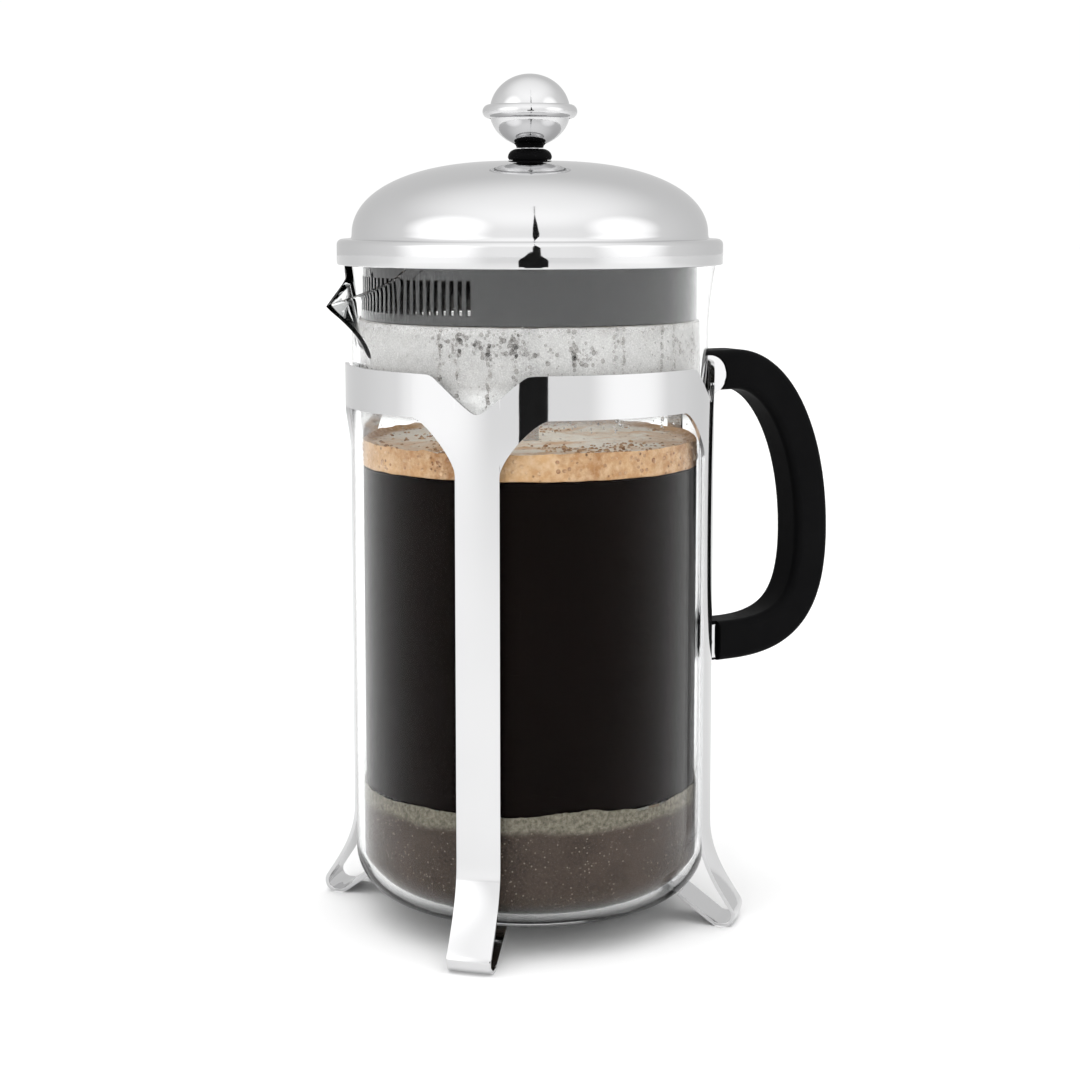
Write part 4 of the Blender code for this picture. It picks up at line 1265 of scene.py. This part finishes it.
def make_camera():
    data = bpy.data.cameras.new("camera")
    data.lens = CAMERA_LENS
    data.shift_y = CAMERA_SHIFT
    data.clip_start = 0.01
    camera = add_object("camera", data, around(0, CAMERA_DISTANCE, CAMERA_HEIGHT))
    right = Vector((cos(CAMERA_TURN), sin(CAMERA_TURN), 0))
    aim = Vector((AXIS_X, 0, CAMERA_HEIGHT)) + right * CAMERA_ASIDE
    aim.z -= tan(CAMERA_PITCH) * CAMERA_DISTANCE
    camera.rotation_euler = (aim - camera.location).to_track_quat("-Z", "Y").to_euler()
    bpy.context.scene.camera = camera


def card_look(name):
    look = Look(name, Roughness=1.0, Specular_IOR_Level=0.0)
    look.colour(look.noise(12, 2), (0.006, 0.006, 0.006), (0.02, 0.02, 0.02))
    return look.mat


def mirror_only(obj):
    """Shows a piece of the studio in reflections and nowhere else."""
    obj.visible_camera = False
    obj.visible_diffuse = False
    obj.visible_transmission = False
    obj.visible_shadow = False


def dark_card(name, turn, distance, middle, width, tall):
    """A matt black card with a round top: what the camera's stand leaves in the steel."""
    bm = bmesh.new()
    outline = [(-width / 2, -tall / 2), (width / 2, -tall / 2)]
    outline += arc((0, tall / 2 - width / 2), width / 2, 0, 180, 24)
    bm.faces.new([bm.verts.new((x, 0, z)) for x, z in outline])
    card = mesh_object(name, bm, card_look(name))
    card.location = around(turn, distance, middle)
    card.rotation_euler.z = CAMERA_TURN + turn
    mirror_only(card)


def dark_arch(name, aside, radius, width):
    """A black arch that thins out on its way from the camera's stand up over the press."""
    bm = bmesh.new()
    steps = 28
    previous = None
    for i in range(steps + 1):
        rise = radians(1 + 70 * i / steps)
        half = width / 2 * max(0.08, 1 - 1.3 * i / steps)
        y, z = -radius * cos(rise), 0.15 + radius * sin(rise)
        x = aside * (1 - 0.55 * i / steps)
        pair = [bm.verts.new((x + side * half, y, z)) for side in (-1, 1)]
        if previous:
            bm.faces.new((*previous, pair[1], pair[0]))
        previous = pair
    card = mesh_object(name, bm, card_look(name))
    card.rotation_euler.z = CAMERA_TURN
    mirror_only(card)


# (turn from the camera, rise, reach of the bright middle, reach of the soft edge), all in
# degrees, and brightness.
SOFT_LIGHTS = (
    (-56, 14, 10, 34, 0.62),
    (64, 14, 8, 30, 0.55),
    (0, 74, 15, 66, 0.31),
)
WALL_BEHIND = 0.68
WALL_IN_FRONT = 1.16
BACKDROP = 1.02


def make_sky():
    world = bpy.data.worlds.new("studio")
    bpy.context.scene.world = world
    world.use_nodes = True
    sky = Nodes(world.node_tree)
    where = sky.add("TexCoord", "Generated", {})
    total = sky.span(sky.facing(where, 0), -0.95, 0.95, WALL_BEHIND, WALL_IN_FRONT)
    for turn, rise, bright, soft, strength in SOFT_LIGHTS:
        edge, middle = cos(radians(soft)), cos(radians(bright))
        blob = sky.span(sky.facing(where, turn, rise), edge, middle, 0.0, strength, smooth=True)
        total = sky.maths("ADD", total, blob)
    white = (1.0, 1.0, 1.0, 1.0)
    backdrop = sky.nodes["Background"]
    backdrop.inputs["Color"].default_value = white
    backdrop.inputs["Strength"].default_value = BACKDROP
    room = sky.add("Background", "Background", {"Color": white, "Strength": total})
    both = sky.switch("Is Camera Ray", room, backdrop.outputs["Background"])
    sky.links.new(both, sky.nodes["World Output"].inputs["Surface"])


def make_floor(name, mat, height):
    bm = bmesh.new()
    bmesh.ops.create_grid(bm, x_segments=24, y_segments=24, size=6.0)
    floor = mesh_object(name, bm, mat)
    floor.location.z = height
    return floor


def reflected_floor_look():
    """The floor as the steel shows it, with light and shade painted on: darker than the eye sees
    it, a painted falloff farther out, painted shade behind the press and painted pools of light
    from the soft lights.
    """
    look = Look("reflected_floor", Roughness=0.9, Specular_IOR_Level=0.0)
    # Painted falloff: the floor is painted darker farther from the press.
    far = look.span(look.length(look.place), 0.3, 1.3)
    tone = look.mix(far, (0.84, 0.84, 0.84), (0.66, 0.66, 0.66))
    flat = look.add("VectorMath", "Vector", {0: look.place}, operation="NORMALIZE")
    # Painted shade on the side of the floor behind the press, away from the camera.
    behind = look.span(look.facing(flat, 0), 0.1, -0.8, 0.0, 0.6, smooth=True)
    tone = look.mix(behind, tone, (0.45, 0.45, 0.45))
    # Painted pools of light on the floor where the two side soft lights fall.
    for turn, _, _, soft, _ in SOFT_LIGHTS[:2]:
        painted_light_pool = look.span(look.facing(flat, turn), cos(radians(soft)), 1.0, 0.0, 0.8, smooth=True)
        tone = look.mix(look.maths("MULTIPLY", painted_light_pool, far), tone, (0.98, 0.98, 0.98))
    look.links.new(tone, look.shader.inputs["Base Color"])
    return look.mat


def make_inner_glow():
    """A faint fill under the lid, where little of the studio's light reaches the foam."""
    data = bpy.data.lights.new("inner_glow", "AREA")
    data.shape = "DISK"
    data.size = 0.07
    data.energy = 0.012
    glow = add_object("inner_glow", data, (AXIS_X, 0, SKIRT_BOTTOM - 0.002))
    glow.visible_camera = False
    glow.visible_glossy = False
    glow.visible_transmission = False


def make_studio():
    make_sky()
    sun = bpy.data.lights.new("overhead", "SUN")
    sun.energy = 1.3
    sun.angle = radians(70)
    overhead = add_object("overhead", sun, (AXIS_X, 0, 2.0))
    overhead.visible_glossy = False
    make_inner_glow()
    dark_card("stand_reflection", radians(2), 0.62, 0.105, 0.18, 0.17)
    dark_card("tripod_reflection", radians(2), 0.63, 0.10, 0.11, 0.20)
    dark_arch("post_reflection", 0.055, 0.80, 0.065)
    floor = make_floor("floor", floor_look(), 0)
    floor.visible_glossy = False
    mirror_only(make_floor("reflected_floor", reflected_floor_look(), 0.0003))
    bpy.context.scene.view_settings.view_transform = "Standard"


def main():
    for make in (make_beaker, make_grounds, make_coffee, make_foam, make_bubbles, make_drops,
                 make_mist, make_frame, make_handle):
        make()
    make_rivet("ear_rivet", "upper_rivet")
    make_rivet("lug_rivet", "lower_rivet")
    for make in (make_dome, make_liner, make_bushing, make_knob, make_rod, make_mesh_filter,
                 make_spring, finish_kept_nodes, make_camera, make_studio):
        make()


main()
